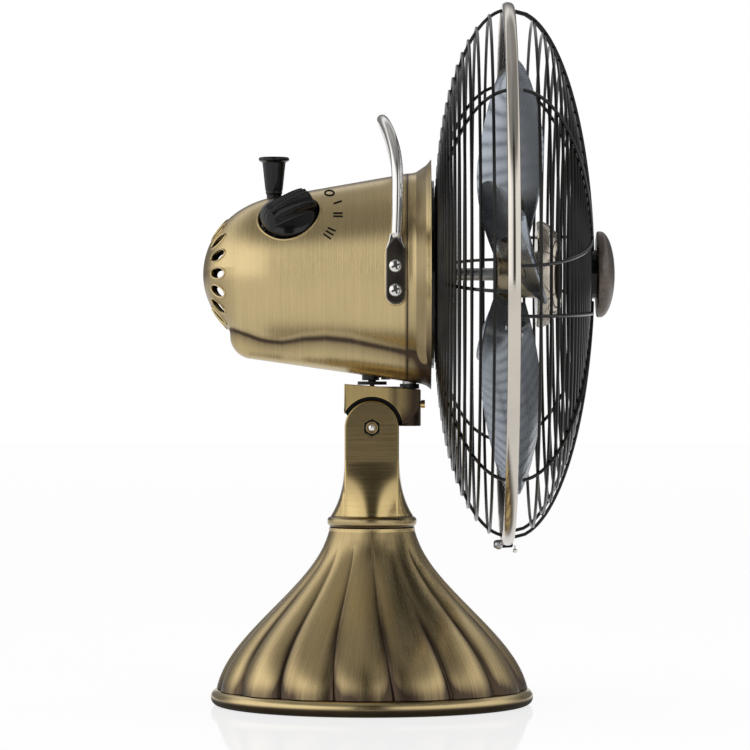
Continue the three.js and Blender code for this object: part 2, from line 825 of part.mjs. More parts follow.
function motorHousing() {
  const pocketFloor = knobBase - clearance - switchPlateThickness - overrun;
  const pocket = placeAtKnob(drum('z', knobPocketRadius, pocketFloor, domeRadius + seamRadius, 24));
  const pullHole = drum('z', pullWaistRadius + runningGap, 0, domeRadius + overrun, 14);
  const keep = block(
    [domeCentre - domeLength - overrun, -lipRadius - overrun, -lipRadius - overrun],
    [seamReach - clearance / 2, lipRadius + overrun, lipRadius + overrun],
  );
  return housingSkin().intersect(keep).subtract(ventCuts()).subtract(pocket)
    .subtract(moved(pullHole, pullReach, 0, 0)).subtract(floorHoles()).subtract(handleScrewHoles(0));
}

function frontBezel() {
  const keep = block(
    [seamReach + clearance / 2, -lipRadius - overrun, -lipRadius - overrun],
    [frontReach + overrun, lipRadius + overrun, lipRadius + overrun],
  );
  return housingSkin().intersect(keep).subtract(floorHoles());
}

function motorFrame() {
  const radius = housingRadius(frameRear) - housingWall - clearance * 2;
  const tubeEnd = guardPlateFront + neckTubeLength;
  const profile = [
    [shaftRadius + clearance, frameRear], [radius, frameRear], [radius, frameFront],
    [neckTubeRadius, frameFront], [neckTubeRadius, tubeEnd],
    [shaftRadius + clearance, tubeEnd], [shaftRadius + clearance, frameRear],
  ];
  return turned('x', profile, hollowSegments);
}

function stator() {
  return annulus('x', statorRadius, statorBore, statorRear, statorRear + statorLength);
}

function gearbox() {
  const front = statorRear - clearance;
  const rear = block([gearboxRear, -gearboxHalf, -gearboxHalf], [front, gearboxHalf, gearboxHalf]);
  const riser = block(
    [gearboxFootRear, -gearboxFootHalf, -gearboxFootDrop],
    [gearboxRiserFront, gearboxFootHalf, 0],
  );
  const foot = block(
    [gearboxFootRear, -gearboxFootHalf, -gearboxFootDrop],
    [frameRear - clearance, gearboxFootHalf, -gearboxFootRise],
  );
  const shaftHole = drum('x', shaftRadius + clearance, shaftRearEnd() - clearance, front + overrun, 14);
  const low = -gearboxFootDrop - overrun;
  const swivelHole = drum('z', swivelRadius + clearance, low, swivelHead() + clearance, 14);
  const crankHole = drum('z', crankShaftRadius + clearance, low, swivelHead(), 12);
  const rodHole = drum('z', pullRodRadius + clearance, 0, gearboxHalf + overrun, 10);
  return union([rear, riser, foot]).subtract(shaftHole)
    .subtract(moved(swivelHole, swivelReach, 0, 0))
    .subtract(moved(crankHole, crankReach, crankCentreY, 0))
    .subtract(moved(rodHole, pullReach, 0, 0));
}

function shaftRearEnd() {
  return statorRear - gearboxHalf;
}

function swivelHead() {
  return -gearboxFootRise - overrun * 2;
}

function swivelShaft() {
  return moved(drum('z', swivelRadius, swivelFoot() - axisHeight, swivelHead(), 16), swivelReach, 0, 0);
}

function swivelWasher() {
  const low = blockTop + clearance - axisHeight;
  const high = -bellyDrop(swivelReach + swivelWasherRadius) - clearance;
  return moved(annulus('z', swivelWasherRadius, swivelRadius + clearance, low, high, 16), swivelReach, 0, 0);
}

function crankWheel() {
  const low = linkTop + clearance + crankPinLength - axisHeight;
  const high = low + crankThickness;
  const disc = drum('z', crankRadius, low, high, 16);
  const shaft = drum('z', crankShaftRadius, high - overrun / 2, swivelHead() - clearance, 12);
  const pin = drum('z', crankPinRadius, low - crankPinLength, low + overrun / 2, 10);
  return moved(union([disc, shaft, moved(pin, 0, -crankThrow, 0)]), crankReach, crankCentreY, 0);
}

function speedKnob() {
  const profile = knobOutlineShares.map(([across, up]) => (
    [knobRadius * across, knobBase + knobHeight * up]));
  const top = knobBase + knobHeight;
  const reach = knobRadius * knobGripShare;
  const grip = block(
    [-reach, -knobGripHalf, top - knobHeight / 2],
    [reach, knobGripHalf, top + knobGripHeight],
  ).rotate([0, 0, knobGripTurn]);
  const spindle = drum('z', knobSpindleRadius, knobBase - knobSpindleDepth, knobBase + overrun, 10);
  return placeAtKnob(union([turned('z', profile, 22), grip, spindle]));
}

function switchBody() {
  const plateHigh = knobBase - clearance;
  const plateLow = plateHigh - switchPlateThickness;
  const plate = drum('z', switchPlateRadius, plateLow, plateHigh, 20);
  const drumBody = drum('z', switchDrumRadius, plateLow - switchDrumLength, plateLow + overrun / 2, 14);
  const boreEnd = knobBase - knobSpindleDepth - clearance;
  const bore = drum('z', knobSpindleRadius + clearance, boreEnd, knobBase + overrun, 10);
  return placeAtKnob(plate.add(drumBody).subtract(bore));
}

function pullKnob() {
  const waist = domeRadius + runningGap;
  const flangeLow = pullTop - pullFlangeThickness;
  const profile = [
    [0, gearboxHalf - pullRodGrip], [pullRodRadius, gearboxHalf - pullRodGrip],
    [pullRodRadius, domeRadius - pullStemDepth], [pullWaistRadius, domeRadius - pullStemDepth],
    [pullWaistRadius, waist + pullTravel], [pullShoulderRadius, flangeLow - clearance],
    [pullFlangeRadius, flangeLow + pullFlangeThickness / 2], [pullFlangeRadius, pullTop], [0, pullTop],
  ];
  return moved(turned('z', profile, 16), pullReach, 0, 0);
}

function handlePlate(side) {
  const halfHeight = (handlePlateHigh - handlePlateLow) / 2;
  const outline = roundedOutline(handlePlateHalf, halfHeight, handlePlateHalf, 4);
  const height = handlePlateLow + halfHeight;
  return loft([handleSide, handleSide + handlePlateThickness].map((depth) => (
    outline.map(([u, v]) => new THREE.Vector3(handleReach + u, depth * side, height + v)))));
}

// The handle's rod rises from two flat plates and leans back over the housing.
function carryHandle() {
  const middle = handleSide + handlePlateThickness / 2;
  const half = handleBowShares.map(([leanShare, riseShare, spanShare]) => new THREE.Vector3(
    handleReach + leanShare * (leanShare > 0 ? handleBulge : handleLean),
    -middle * spanShare,
    handlePlateHigh + handleRise * riseShare,
  ));
  half[0].z = handlePlateHigh - handleRod;
  const otherHalf = half.slice(0, -1).reverse()
    .map((point) => new THREE.Vector3(point.x, -point.y, point.z));
  const rod = wire([...half, ...otherHalf], handleRod, 24, 6);
  return union([rod, handlePlate(-1), handlePlate(1)]).subtract(handleScrewHoles(handleRod * 2));
}

function handleScrew(side, height) {
  const face = handleSide + handlePlateThickness + clearance;
  const [headEnd, tip] = [face + handleScrewHead, face - handleScrewGrip];
  const head = drum('y', handleScrewHeadRadius, ...[face * side, headEnd * side].sort((a, b) => a - b), 12);
  const inside = face + handleScrewHead / 2;
  const shank = drum('y', handleScrewRadius, ...[tip * side, inside * side].sort((a, b) => a - b), 8);
  return moved(head.add(shank), handleReach, 0, height);
}

// Grille: wire rings on two domes, held together by a split chrome band

function rearReach(radius) {
  const share = THREE.MathUtils.clamp((radius - rearCentreRadius) / (rimRadius - rearCentreRadius), 0, 1);
  return rearRimReach - rearDepth * Math.sqrt(1 - share * share);
}

function frontReachAt(radius) {
  const share = Math.min(radius / rimRadius, 1);
  return frontRimReach + frontDepth * Math.sqrt(1 - share * share);
}

function wireRing(radius, reach, thickness, segments) {
  const torus = new THREE.TorusGeometry(radius, thickness, 4, segments);
  return toSolid(torus.rotateY(Math.PI / 2).translate(reach, 0, 0));
}

// A spoke stands proud of the rings' front side, but its outer end is sunk into the rim.
// Its places are given as [up, aside] before it is turned.
function spoke(reachAt, turn, places, steps) {
  const shrink = 1 - rimWireRadius / rimRadius;
  const points = places.map(([up, aside]) => {
    const radius = Math.hypot(up, aside);
    const reach = reachAt(radius) + Math.min(weldDepth, rimRadius - radius);
    const place = new THREE.Vector3(reach, -aside * shrink, up * shrink);
    return place.applyAxisAngle(new THREE.Vector3(1, 0, 0), turn);
  });
  return wire(points, wireRadius, steps);
}

function straightSpoke(reachAt, turn, innerRadius) {
  const steps = 7;
  const inner = innerRadius - rimWireRadius;
  const places = [];
  for (let i = 0; i <= steps; i += 1) {
    places.push([inner + (rimRadius - inner) * Math.sin(((i / steps) * Math.PI) / 2), 0]);
  }
  return spoke(reachAt, turn, places, steps + 1);
}

// A bent spoke comes in beside one radius, turns a round corner at the cap and goes out beside the next.
function bentSpoke(reachAt, turn) {
  const outer = Math.sqrt(rimRadius ** 2 - spokePairHalf ** 2);
  const inner = spokeCorner + spokeCornerRound;
  const steps = 5;
  const leg = [];
  for (let i = 0; i <= steps; i += 1) {
    const share = Math.sin((1 - i / steps) * (Math.PI / 2));
    const up = inner + (outer - inner) * share;
    leg.push([up, spokeCorner + (spokePairHalf - spokeCorner) * share]);
  }
  const corner = spokeCorner + spokeCornerRound * (1 - Math.SQRT1_2);
  const back = leg.map(([up, aside]) => [aside, up]).reverse();
  return spoke(reachAt, turn, [...leg, [corner, corner], ...back], steps * 2 + 2);
}

function guard(reachAt, innerRadius, bars) {
  const rings = [
    wireRing(innerRadius, reachAt(innerRadius), rimWireRadius, Math.round(rimSegments * 2 / 3)),
    wireRing(rimRadius, reachAt(rimRadius), rimWireRadius, rimSegments),
  ];
  for (let radius = rimRadius - wirePitch; radius > innerRadius + wirePitch / 2; radius -= wirePitch) {
    const segments = Math.round(rimSegments * (1 / 2 + radius / rimRadius / 3));
    rings.push(wireRing(radius, reachAt(radius), wireRadius, segments));
  }
  return union([...rings, ...bars]);
}

function rearGuard() {
  const bars = [];
  for (let i = 0; i < rearSpokeCount; i += 1) {
    const turn = spokeTurn + (i * 2 * Math.PI) / rearSpokeCount;
    bars.push(straightSpoke(rearReach, turn, rearInnerRadius));
  }
  return guard(rearReach, rearInnerRadius, bars);
}

function frontGuard() {
  const bars = [];
  for (let i = 0; i < bentSpokeCount; i += 1) {
    const turn = spokeTurn + (i * 2 * Math.PI) / bentSpokeCount;
    bars.push(bentSpoke(frontReachAt, turn));
    bars.push(straightSpoke(frontReachAt, turn + Math.PI / bentSpokeCount, frontInnerRadius));
  }
  return guard(frontReachAt, frontInnerRadius, bars);
}

function guardPlate() {
  return annulus('x', guardPlateRadius, neckTubeRadius + clearance, guardPlateRear, guardPlateFront, 28);
}

function guardRingNut() {
  const rear = guardPlateFront + clearance;
  return annulus('x', ringNutRadius, neckTubeRadius + clearance, rear, rear + ringNutThickness, 20);
}

function guardBand() {
  const low = bandPlane - bandWidth / 2;
  const high = bandPlane + bandWidth / 2;
  const lip = bandFloor - rimWireRadius;
  const profile = [
    [lip, low], [bandFloor + bandWall, low], [bandRadius, low + bandWidth / 4],
    [bandRadius, high - bandWidth / 4], [bandFloor + bandWall, high], [lip, high], [lip, high - bandWall],
    [bandFloor, high - bandWall], [bandFloor, low + bandWall], [lip, low + bandWall], [lip, low],
  ];
  const ring = turned('x', profile, rimSegments);
  const split = block(
    [low - overrun, -bandSplit / 2, -bandRadius - overrun],
    [high + overrun, bandSplit / 2, -lip + overrun],
  );
  const lugs = [-1, 1].map((side) => {
    const [near, far] = [(bandSplit / 2) * side, (bandSplit / 2 + lugThickness) * side];
    const lug = block(
      [low - lugBack, Math.min(near, far), -lugDrop - lugHalfHeight],
      [low + bandWall * 2, Math.max(near, far), -lugDrop + lugHalfHeight],
    );
    const hole = drum('y', clampScrewRadius + clearance, -bandWidth, bandWidth, 8);
    return lug.subtract(moved(hole, low - clampScrewReach, 0, -lugDrop));
  });
  return ring.subtract(split).add(union(lugs));
}

function clampScrew() {
  const face = bandSplit / 2 + lugThickness + clearance;
  const head = drum('y', clampHeadRadius, -face - clampHeadHeight, -face, 12);
  const shank = drum('y', clampScrewRadius, -face - clampHeadHeight / 2, face + clampHeadHeight, 8);
  return moved(head.add(shank), bandPlane - bandWidth / 2 - clampScrewReach, 0, -lugDrop);
}

function clampNut() {
  const face = bandSplit / 2 + lugThickness + clearance;
  const nut = hexagon('y', clampHeadRadius * 2, face, face + clampHeadHeight);
  const bore = drum('y', clampScrewRadius + clearance, face - overrun, face + clampHeadHeight + overrun, 8);
  return moved(nut.subtract(bore), bandPlane - bandWidth / 2 - clampScrewReach, 0, -lugDrop);
}

function frontCap() {
  const back = capPlateNose() + clearance;
  const profile = [[0, back], [capRadius, back], [capRadius, back + capEdge]];
  const steps = 5;
  for (let i = 1; i <= steps; i += 1) {
    const angle = ((i / steps) * Math.PI) / 2;
    profile.push([capRadius * Math.cos(angle), back + capEdge + (capHeight - capEdge) * Math.sin(angle)]);
  }
  return turned('x', profile, 24);
}

function capPlate() {
  const front = frontReachAt(frontInnerRadius) - rimWireRadius - clearance;
  const rear = front - capPlateThickness;
  const noseRadius = frontInnerRadius - (rimWireRadius + clearance) * 2;
  return drum('x', capPlateRadius, rear, front, 24).add(drum('x', noseRadius, rear, capPlateNose(), 20));
}

function capPlateNose() {
  return frontReachAt(frontInnerRadius) + weldDepth + wireRadius;
}

// Rotor: shaft, iron core, spider with four arms, four pitched blades and the spinner

function bladePlace(radiusShare, chordShare, depth) {
  const radius = bladeRootRadius + (bladeTipRadius - bladeRootRadius) * radiusShare;
  const widen = Math.sin((Math.min(radiusShare / bladeWidestShare, 1) * Math.PI) / 2);
  const tip = Math.max(radiusShare - bladeWidestShare, 0) / (1 - bladeWidestShare);
  const roundTip = Math.sqrt(1 - tip * tip * bladeTipRoundShare);
  const chord = (bladeRootChord + (bladeChord - bladeRootChord) * widen) * roundTip;
  const pitch = bladeRootPitch + (bladeTipPitch - bladeRootPitch) * radiusShare;
  const along = chordShare * chord / 2;
  const camber = bladeCamber * (1 - chordShare * chordShare) * widen;
  const reach = bladePlane - along * Math.sin(pitch) + (camber + depth) * Math.cos(pitch);
  const aside = along * Math.cos(pitch) + (camber + depth) * Math.sin(pitch);
  return { radius, angle: aside / radius, reach };
}

function sheet(placeAt, rows, columns, thickness) {
  const rings = [];
  for (let row = 0; row <= rows; row += 1) {
    const ring = [];
    for (let i = 0; i <= columns; i += 1) ring.push(placeAt(row / rows, (2 * i) / columns - 1, 0));
    for (let i = columns; i >= 0; i -= 1) ring.push(placeAt(row / rows, (2 * i) / columns - 1, thickness));
    rings.push(ring);
  }
  return loft(rings, true);
}

function blade(index) {
  const turn = THREE.MathUtils.radToDeg(bladeTurn) + (index * 360) / bladeCount;
  return sheet((rowShare, chordShare, depth) => {
    const { radius, angle, reach } = bladePlace(rowShare, chordShare, depth);
    return new THREE.Vector3(reach, radius * Math.sin(angle), radius * Math.cos(angle));
  }, 6, 4, bladeThickness).rotate([-turn, 0, 0]);
}

function spiderArm(index) {
  const turn = bladeTurn + (index * 2 * Math.PI) / bladeCount;
  const drop = -clearance - armThickness;
  return sheet((rowShare, chordShare, depth) => {
    const radius = armRootRadius + (armTipRadius - armRootRadius) * rowShare;
    const radiusShare = (radius - bladeRootRadius) / (bladeTipRadius - bladeRootRadius);
    const narrow = armWidthShare * (1 - rowShare / 3);
    const place = bladePlace(Math.max(radiusShare, 0), chordShare * narrow, depth + drop);
    const angle = radiusShare < 0 ? place.angle * (bladeRootRadius / radius) : place.angle;
    return new THREE.Vector3(place.reach, radius * Math.sin(angle + turn), radius * Math.cos(angle + turn));
  }, 4, 3, armThickness);
}

function bladeSpider() {
  const hub = drum('x', hubRadius, hubFront - hubLength, hubFront, 20);
  const arms = [];
  for (let i = 0; i < bladeCount; i += 1) arms.push(spiderArm(i));
  const bore = drum('x', shaftRadius + clearance, hubFront - hubLength - overrun, hubFront + overrun, 14);
  return union([hub, ...arms]).subtract(bore);
}

function spinner() {
  const nose = spinnerNoseReach;
  const middle = (spinnerRear + nose) / 2;
  const shoulder = (spinnerRadius * 2 + spinnerNoseRadius) / 3;
  const profile = [
    [shaftRadius + clearance, spinnerRear], [spinnerRadius, spinnerRear],
    [shoulder, middle], [spinnerNoseRadius, nose - spinnerWall], [spinnerNoseRadius - spinnerWall, nose],
    [0, nose], [0, nose - spinnerWall * 2], [shaftRadius + clearance, nose - spinnerWall * 2],
    [shaftRadius + clearance, spinnerRear],
  ];
  return turned('x', profile, 24);
}

function rotorShaft() {
  return drum('x', shaftRadius, shaftRearEnd(), spinnerNoseReach - spinnerWall * 2 - clearance, 14);
}

function rotorCore() {
  const rear = statorRear + (statorLength - coreLength) / 2;
  return annulus('x', coreRadius, shaftRadius + clearance, rear, rear + coreLength, 20);
}

// Assembly

const fan = new THREE.Group();
const base = new THREE.Group();
const head = new THREE.Group();
head.position.set(0, 0, axisHeight);
fan.add(base, head);

for (let i = 0; i < footCount; i += 1) addPiece(base, `rubber_foot_${i + 1}`, rubberFoot(i), 'rubber');
addPiece(base, 'bottom_plate', bottomPlate(), 'steel');
addPiece(base, 'foot_ring', footRing(), 'brass');
addPiece(base, 'ballast_disc', ballastDisc(), 'iron');
addPiece(base, 'bell_base', bellShell(), 'agedBrass');
addPiece(base, 'cord_gland', cordGland(), 'blackPlastic');
addPiece(base, 'neck_collar', collar(), 'brass');
addPiece(base, 'tie_bolt', tieBolt(), 'steel');
addPiece(base, 'neck_fork', neckFork(), 'brass');
addPiece(base, 'tilt_bolt', tiltBolt(), 'chrome');
addPiece(base, 'tilt_nut', tiltNut(), 'darkBrass');
addPiece(base, 'tilt_washer_left', tiltWasher(-1), 'steel');
addPiece(base, 'tilt_washer_right', tiltWasher(1), 'steel');
addPiece(base, 'tilt_block', tiltBlock(), 'brass');
addPiece(base, 'swivel_set_screw', setScrew(), 'brass');
addPiece(base, 'link_arm', linkArm(), 'steel');

addPiece(head, 'motor_housing', motorHousing(), 'brass');
addPiece(head, 'front_bezel', frontBezel(), 'brass');
addPiece(head, 'motor_frame', motorFrame(), 'iron');
addPiece(head, 'motor_stator', stator(), 'copper');
addPiece(head, 'gearbox', gearbox(), 'iron');
addPiece(head, 'swivel_shaft', swivelShaft(), 'steel');
addPiece(head, 'swivel_washer', swivelWasher(), 'blackPlastic');
addPiece(head, 'crank_wheel', crankWheel(), 'iron');
addPiece(head, 'speed_switch', switchBody(), 'blackPlastic');
addPiece(head, 'speed_knob', speedKnob(), 'blackPlastic');
addPiece(head, 'oscillation_knob', pullKnob(), 'blackPlastic');
addPiece(head, 'carry_handle', carryHandle(), 'chrome');
[-1, 1].forEach((side) => [handleScrewHigh, handleScrewLow].forEach((height, i) => {
  addPiece(head, `handle_screw_${side + 2 + i}`, handleScrew(side, height), 'chrome');
}));

addPiece(head, 'guard_plate', guardPlate(), 'blackWire');
addPiece(head, 'guard_ring_nut', guardRingNut(), 'blackPlastic');
addPiece(head, 'rear_guard', rearGuard(), 'blackWire');
addPiece(head, 'front_guard', frontGuard(), 'blackWire');
addPiece(head, 'guard_band', guardBand(), 'chrome');
addPiece(head, 'clamp_screw', clampScrew(), 'steel');
addPiece(head, 'clamp_nut', clampNut(), 'steel');
addPiece(head, 'front_cap', frontCap(), 'darkBrass');
addPiece(head, 'cap_plate', capPlate(), 'blackWire');

addPiece(head, 'rotor_shaft', rotorShaft(), 'steel');
addPiece(head, 'rotor_core', rotorCore(), 'iron');
addPiece(head, 'blade_spider', bladeSpider(), 'agedBrass');
for (let i = 0; i < bladeCount; i += 1) addPiece(head, `blade_${i + 1}`, blade(i), 'blade');
addPiece(head, 'spinner', spinner(), 'chrome');

export default fan;
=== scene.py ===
import json
import bpy
import bmesh
import numpy as np
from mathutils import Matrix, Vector
from numpy import array, clip, cos, exp, hypot, linspace, maximum, minimum, pi, radians, sin, sqrt


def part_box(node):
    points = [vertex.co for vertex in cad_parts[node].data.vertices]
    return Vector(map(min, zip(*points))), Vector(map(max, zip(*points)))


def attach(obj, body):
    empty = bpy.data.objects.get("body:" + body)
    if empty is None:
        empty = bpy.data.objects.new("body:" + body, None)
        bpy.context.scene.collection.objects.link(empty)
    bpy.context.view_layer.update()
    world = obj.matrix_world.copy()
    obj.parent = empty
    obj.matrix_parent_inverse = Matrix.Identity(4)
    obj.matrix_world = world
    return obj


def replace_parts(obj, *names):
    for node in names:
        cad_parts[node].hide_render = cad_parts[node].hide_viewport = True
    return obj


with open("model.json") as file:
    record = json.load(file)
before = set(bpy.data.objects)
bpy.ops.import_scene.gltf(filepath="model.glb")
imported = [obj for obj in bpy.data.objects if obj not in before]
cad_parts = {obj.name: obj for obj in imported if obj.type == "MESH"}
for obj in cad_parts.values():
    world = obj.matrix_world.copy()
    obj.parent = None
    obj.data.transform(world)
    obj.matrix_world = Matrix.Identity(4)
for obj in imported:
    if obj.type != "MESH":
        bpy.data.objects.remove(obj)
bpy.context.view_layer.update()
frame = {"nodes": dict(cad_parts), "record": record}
print("frame loaded")

mm = 0.001
tau = 2 * pi
quarterTurn = array([[0, 1], [-1, 0]])


# Mesh helpers. All sizes are in millimetres until a mesh is made.

def boxOf(node):
    low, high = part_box(node)
    return array(low) / mm, array(high) / mm


def middleOf(node):
    return sum(boxOf(node)) / 2


def join(*parts):
    return np.concatenate(parts)


# coordinates stacked as points, each spread to the shape of all
def pack(*parts):
    return np.stack(np.broadcast_arrays(*parts), -1)


def clamp(value):
    return clip(value, 0, 1)


def around(count):
    return linspace(0, tau, count, endpoint=False)


def quarter(count):
    return linspace(0, pi / 2, count)


# a bell curve that is one at its centre
def hump(value, centre, width):
    return exp(-((value - centre) / width) ** 2)


def lengthOf(vectors):
    return np.linalg.norm(vectors, axis=-1, keepdims=True)


# points with one coordinate along the named axis and two across it
def alongAxis(name, along, first, second):
    return pack(*{"x": (along, first, second), "y": (first, along, second), "z": (first, second, along)}[name])


# quads between the rows of a grid, whose columns go round
def gridFaces(rows, columns):
    row, column = np.meshgrid(np.arange(rows - 1) * columns, np.arange(columns), indexing="ij")
    after = (column + 1) % columns
    return pack(row + column, row + after, row + columns + after, row + columns + column).reshape(-1, 4)


def smooth(mesh, sharp):
    mesh.polygons.foreach_set("use_smooth", np.ones(len(mesh.polygons), dtype=bool))
    mesh.set_sharp_from_angle(angle=radians(sharp))


def newObject(name, data):
    made = bpy.data.objects.new(name, data)
    bpy.context.scene.collection.objects.link(made)
    return made


# one mesh from grids that are open from the first row to the last; a closed form repeats its first row
# and equal points are merged
def meshFrom(name, *grids, paintedShadeAndPatina=None, sharp=40):
    points = join(*[grid.reshape(-1, 3) for grid in grids]) * mm
    starts = np.cumsum([0] + [grid.size // 3 for grid in grids])
    faces = join(*[gridFaces(*grid.shape[:2]) + start for grid, start in zip(grids, starts)])
    mesh = bpy.data.meshes.new(name)
    mesh.vertices.add(len(points))
    mesh.vertices.foreach_set("co", points.ravel())
    mesh.loops.add(faces.size)
    mesh.loops.foreach_set("vertex_index", faces.ravel().astype(np.int32))
    mesh.polygons.add(len(faces))
    mesh.polygons.foreach_set("loop_start", np.arange(0, faces.size, 4, dtype=np.int32))
    # an optional per-point mask of painted shade and patina
    if paintedShadeAndPatina is not None:
        layer = mesh.attributes.new("paintedShadeAndPatina", "FLOAT", "POINT")
        layer.data.foreach_set("value", paintedShadeAndPatina.astype(np.float32).ravel())
    mesh.update(calc_edges=True)
    work = bmesh.new()
    work.from_mesh(mesh)
    bmesh.ops.remove_doubles(work, verts=work.verts, dist=1e-6)
    bmesh.ops.dissolve_degenerate(work, edges=work.edges, dist=1e-7)
    bmesh.ops.recalc_face_normals(work, faces=work.faces)
    work.to_mesh(mesh)
    work.free()
    smooth(mesh, sharp)
    return newObject(name, mesh)


# each corner becomes a quadratic curve that starts a given reach before it
def softCorners(points, reach, closed=True):
    points = array(points, float)
    toBefore, toAfter = np.roll(points, 1, 0) - points, np.roll(points, -1, 0) - points
    ends = []
    for way in (toBefore, toAfter):
        far = lengthOf(way) + 1e-9
        ends.append((points + way / far * minimum(reach, far * 0.45))[:, None])
    t = linspace(0, 1, 5)[None, :, None]
    curve = (1 - t) ** 2 * ends[0] + 2 * t * (1 - t) * points[:, None] + t ** 2 * ends[1]
    if closed:
        return curve.reshape(-1, 2)
    return join(points[:1], curve[1:-1].reshape(-1, 2), points[-1:])


# a profile of (radius, along) pairs carried round the x, y or z axis through a centre
def turnedGrid(profile, axis, centre, segments=96):
    radius, along = array(profile, float).T[:, :, None]
    angle = around(segments)
    return alongAxis(axis, along, radius * cos(angle), radius * sin(angle)) + array(centre, float)


def turned(name, profile, axis, centre, segments=96, sharp=40):
    return meshFrom(name, turnedGrid(profile, axis, centre, segments), sharp=sharp)


# a grid with both ends drawn together to the middle of their rows
def capped(grid):
    first, last = (np.broadcast_to(grid[i].mean(0), grid[i:][:1].shape) for i in (0, -1))
    return join(first, grid, last)


# a round wire along a path, its section framed by a fixed reference direction
def wireGrid(path, radius, reference, sides=8, closed=False):
    path = array(path, float)
    tangent = np.roll(path, -1, 0) - np.roll(path, 1, 0) if closed else np.gradient(path, axis=0)
    tangent /= lengthOf(tangent)
    side = np.cross(tangent, array(reference, float))
    side /= lengthOf(side)
    up = np.cross(side, tangent)
    angle = around(sides)[None, :, None]
    radius = np.broadcast_to(radius, len(path))[:, None, None]
    grid = path[:, None] + (cos(angle) * side[:, None] + sin(angle) * up[:, None]) * radius
    return join(grid, grid[:1]) if closed else capped(grid)


# a smooth curve through chosen points, as a sum of cubic pieces
def smoothPath(points, steps=12):
    points = array(points, float)
    padded = join(2 * points[:1] - points[1:2], points, 2 * points[-1:] - points[-2:-1])
    t = linspace(0, 1, steps, endpoint=False)[None, :, None]
    a, b, c, d = (padded[i:len(padded) - 3 + i][:, None] for i in range(4))
    curve = 0.5 * (2 * b + (c - a) * t + (2 * a - 5 * b + 4 * c - d) * t ** 2 + (3 * b - a - 3 * c + d) * t ** 3)
    return join(curve.reshape(-1, points.shape[1]), points[-1:])


# a flat outline carried between two places on the third axis, with its edges rounded over; a recess is
# a second outline of as many points, sunk into the low side to a floor; the faces of a hollow outline
# are closed along the line between its paired points, first with last and so on
def slab(name, outline, axis, low, high, centre=(0, 0, 0), round=0.6, sharp=40, recess=None, paired=False):
    outline = array(outline, float)
    after = np.roll(outline, -1, 0)
    along = after - np.roll(outline, 1, 0)
    along /= lengthOf(along) + 1e-9
    area = np.sum(outline[:, 0] * after[:, 1] - after[:, 0] * outline[:, 1])
    inward = along @ quarterTurn * np.sign(area)
    turn = quarter(4)
    sink, rise = round * (1 - sin(turn)), round * (1 - cos(turn))
    hold = [round + 0.2 if round else 0]
    flat = outline + inward * join(hold, sink, sink[::-1], hold)[:, None, None]
    middle = (flat[0] + flat[0, ::-1]) / 2 if paired else np.broadcast_to(outline.mean(0), outline.shape)
    flat = join(middle[None], flat, middle[None])
    levels = join([low, low], low + rise, (high - rise)[::-1], [high, high])
    if recess:
        rim, floor = recess
        flat = join(0 * flat[:1] + rim.mean(0), rim[None], rim[None], flat[1:])
        levels = join([floor, floor, low], levels[1:])
    grid = alongAxis(axis, levels[:, None], flat[:, :, 0], flat[:, :, 1])
    return meshFrom(name, grid + array(centre, float), sharp=sharp)


def circle(radius, steps=48):
    return radius * pack(cos(around(steps)), sin(around(steps)))


def cutAway(piece, *cutters, sharp=40):
    for cutter in cutters:
        modifier = piece.modifiers.new("cut", "BOOLEAN")
        modifier.operation, modifier.solver, modifier.object = "DIFFERENCE", "EXACT", cutter
    graph = bpy.context.evaluated_depsgraph_get()
    mesh = bpy.data.meshes.new_from_object(piece.evaluated_get(graph))
    piece.modifiers.clear()
    piece.data = mesh
    for cutter in cutters:
        bpy.data.objects.remove(cutter)
    smooth(mesh, sharp)


# a mask of painted shade and patina on the points of a finished mesh, worked out from their places in millimetres
def paint(piece, valueAt):
    mesh = piece.data
    places = np.empty(len(mesh.vertices) * 3, dtype=np.float32)
    mesh.vertices.foreach_get("co", places)
    values = clamp(valueAt(*(places.reshape(-1, 3) / mm).T)).astype(np.float32)
    mesh.attributes.new("paintedShadeAndPatina", "FLOAT", "POINT").data.foreach_set("value", values)


# a point set turned about the x axis by a right-hand angle
def turnX(points, angle):
    x, y, z = np.moveaxis(points, -1, 0)
    return pack(x, y * cos(angle) - z * sin(angle), y * sin(angle) + z * cos(angle))


def settle(piece, material, body, slot, *replaced):
    piece.data.materials.clear()
    piece.data.materials.append(material)
    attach(piece, body)
    if replaced:
        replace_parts(piece, *replaced)


# Shader groups and materials

def newGroup(name, inputs, outputs):
    tree = bpy.data.node_groups.new(name, "ShaderNodeTree")
    for way, sockets in (("INPUT", inputs), ("OUTPUT", outputs)):
        for socketName, kind in sockets.items():
            tree.interface.new_socket(socketName, in_out=way, socket_type="NodeSocket" + kind)
    return tree, tree.nodes.new("NodeGroupInput").outputs, tree.nodes.new("NodeGroupOutput")


# a socket is linked, anything else is set as the input's value
def feed(tree, target, value):
    if isinstance(value, bpy.types.NodeSocket):
        tree.links.new(value, target)
    else:
        target.default_value = value


def fill(tree, made, *values, **named):
    for i, value in enumerate(values):
        feed(tree, made.inputs[i], value)
    for key, value in named.items():
        feed(tree, made.inputs[key.replace("_", " ")], value)
    return made


def node(tree, kind, settings=None, *values, **named):
    made = tree.nodes.new("ShaderNode" + kind)
    for key, value in (settings or {}).items():
        setattr(made, key, value)
    return fill(tree, made, *values, **named)


def calc(tree, operation, *values, clamped=False):
    return node(tree, "Math", {"operation": operation, "use_clamp": clamped}, *values).outputs[0]


def vectorCalc(tree, operation, *values):
    return node(tree, "VectorMath", {"operation": operation}, *values).outputs[0]


def mix(tree, factor, first, second, kind="RGBA", blend="MIX"):
    made = node(tree, "Mix", {"data_type": kind, "blend_type": blend}, factor)
    start, result = {"FLOAT": (2, 0), "RGBA": (6, 2)}[kind]
    feed(tree, made.inputs[start], first)
    feed(tree, made.inputs[start + 1], second)
    return made.outputs[result]


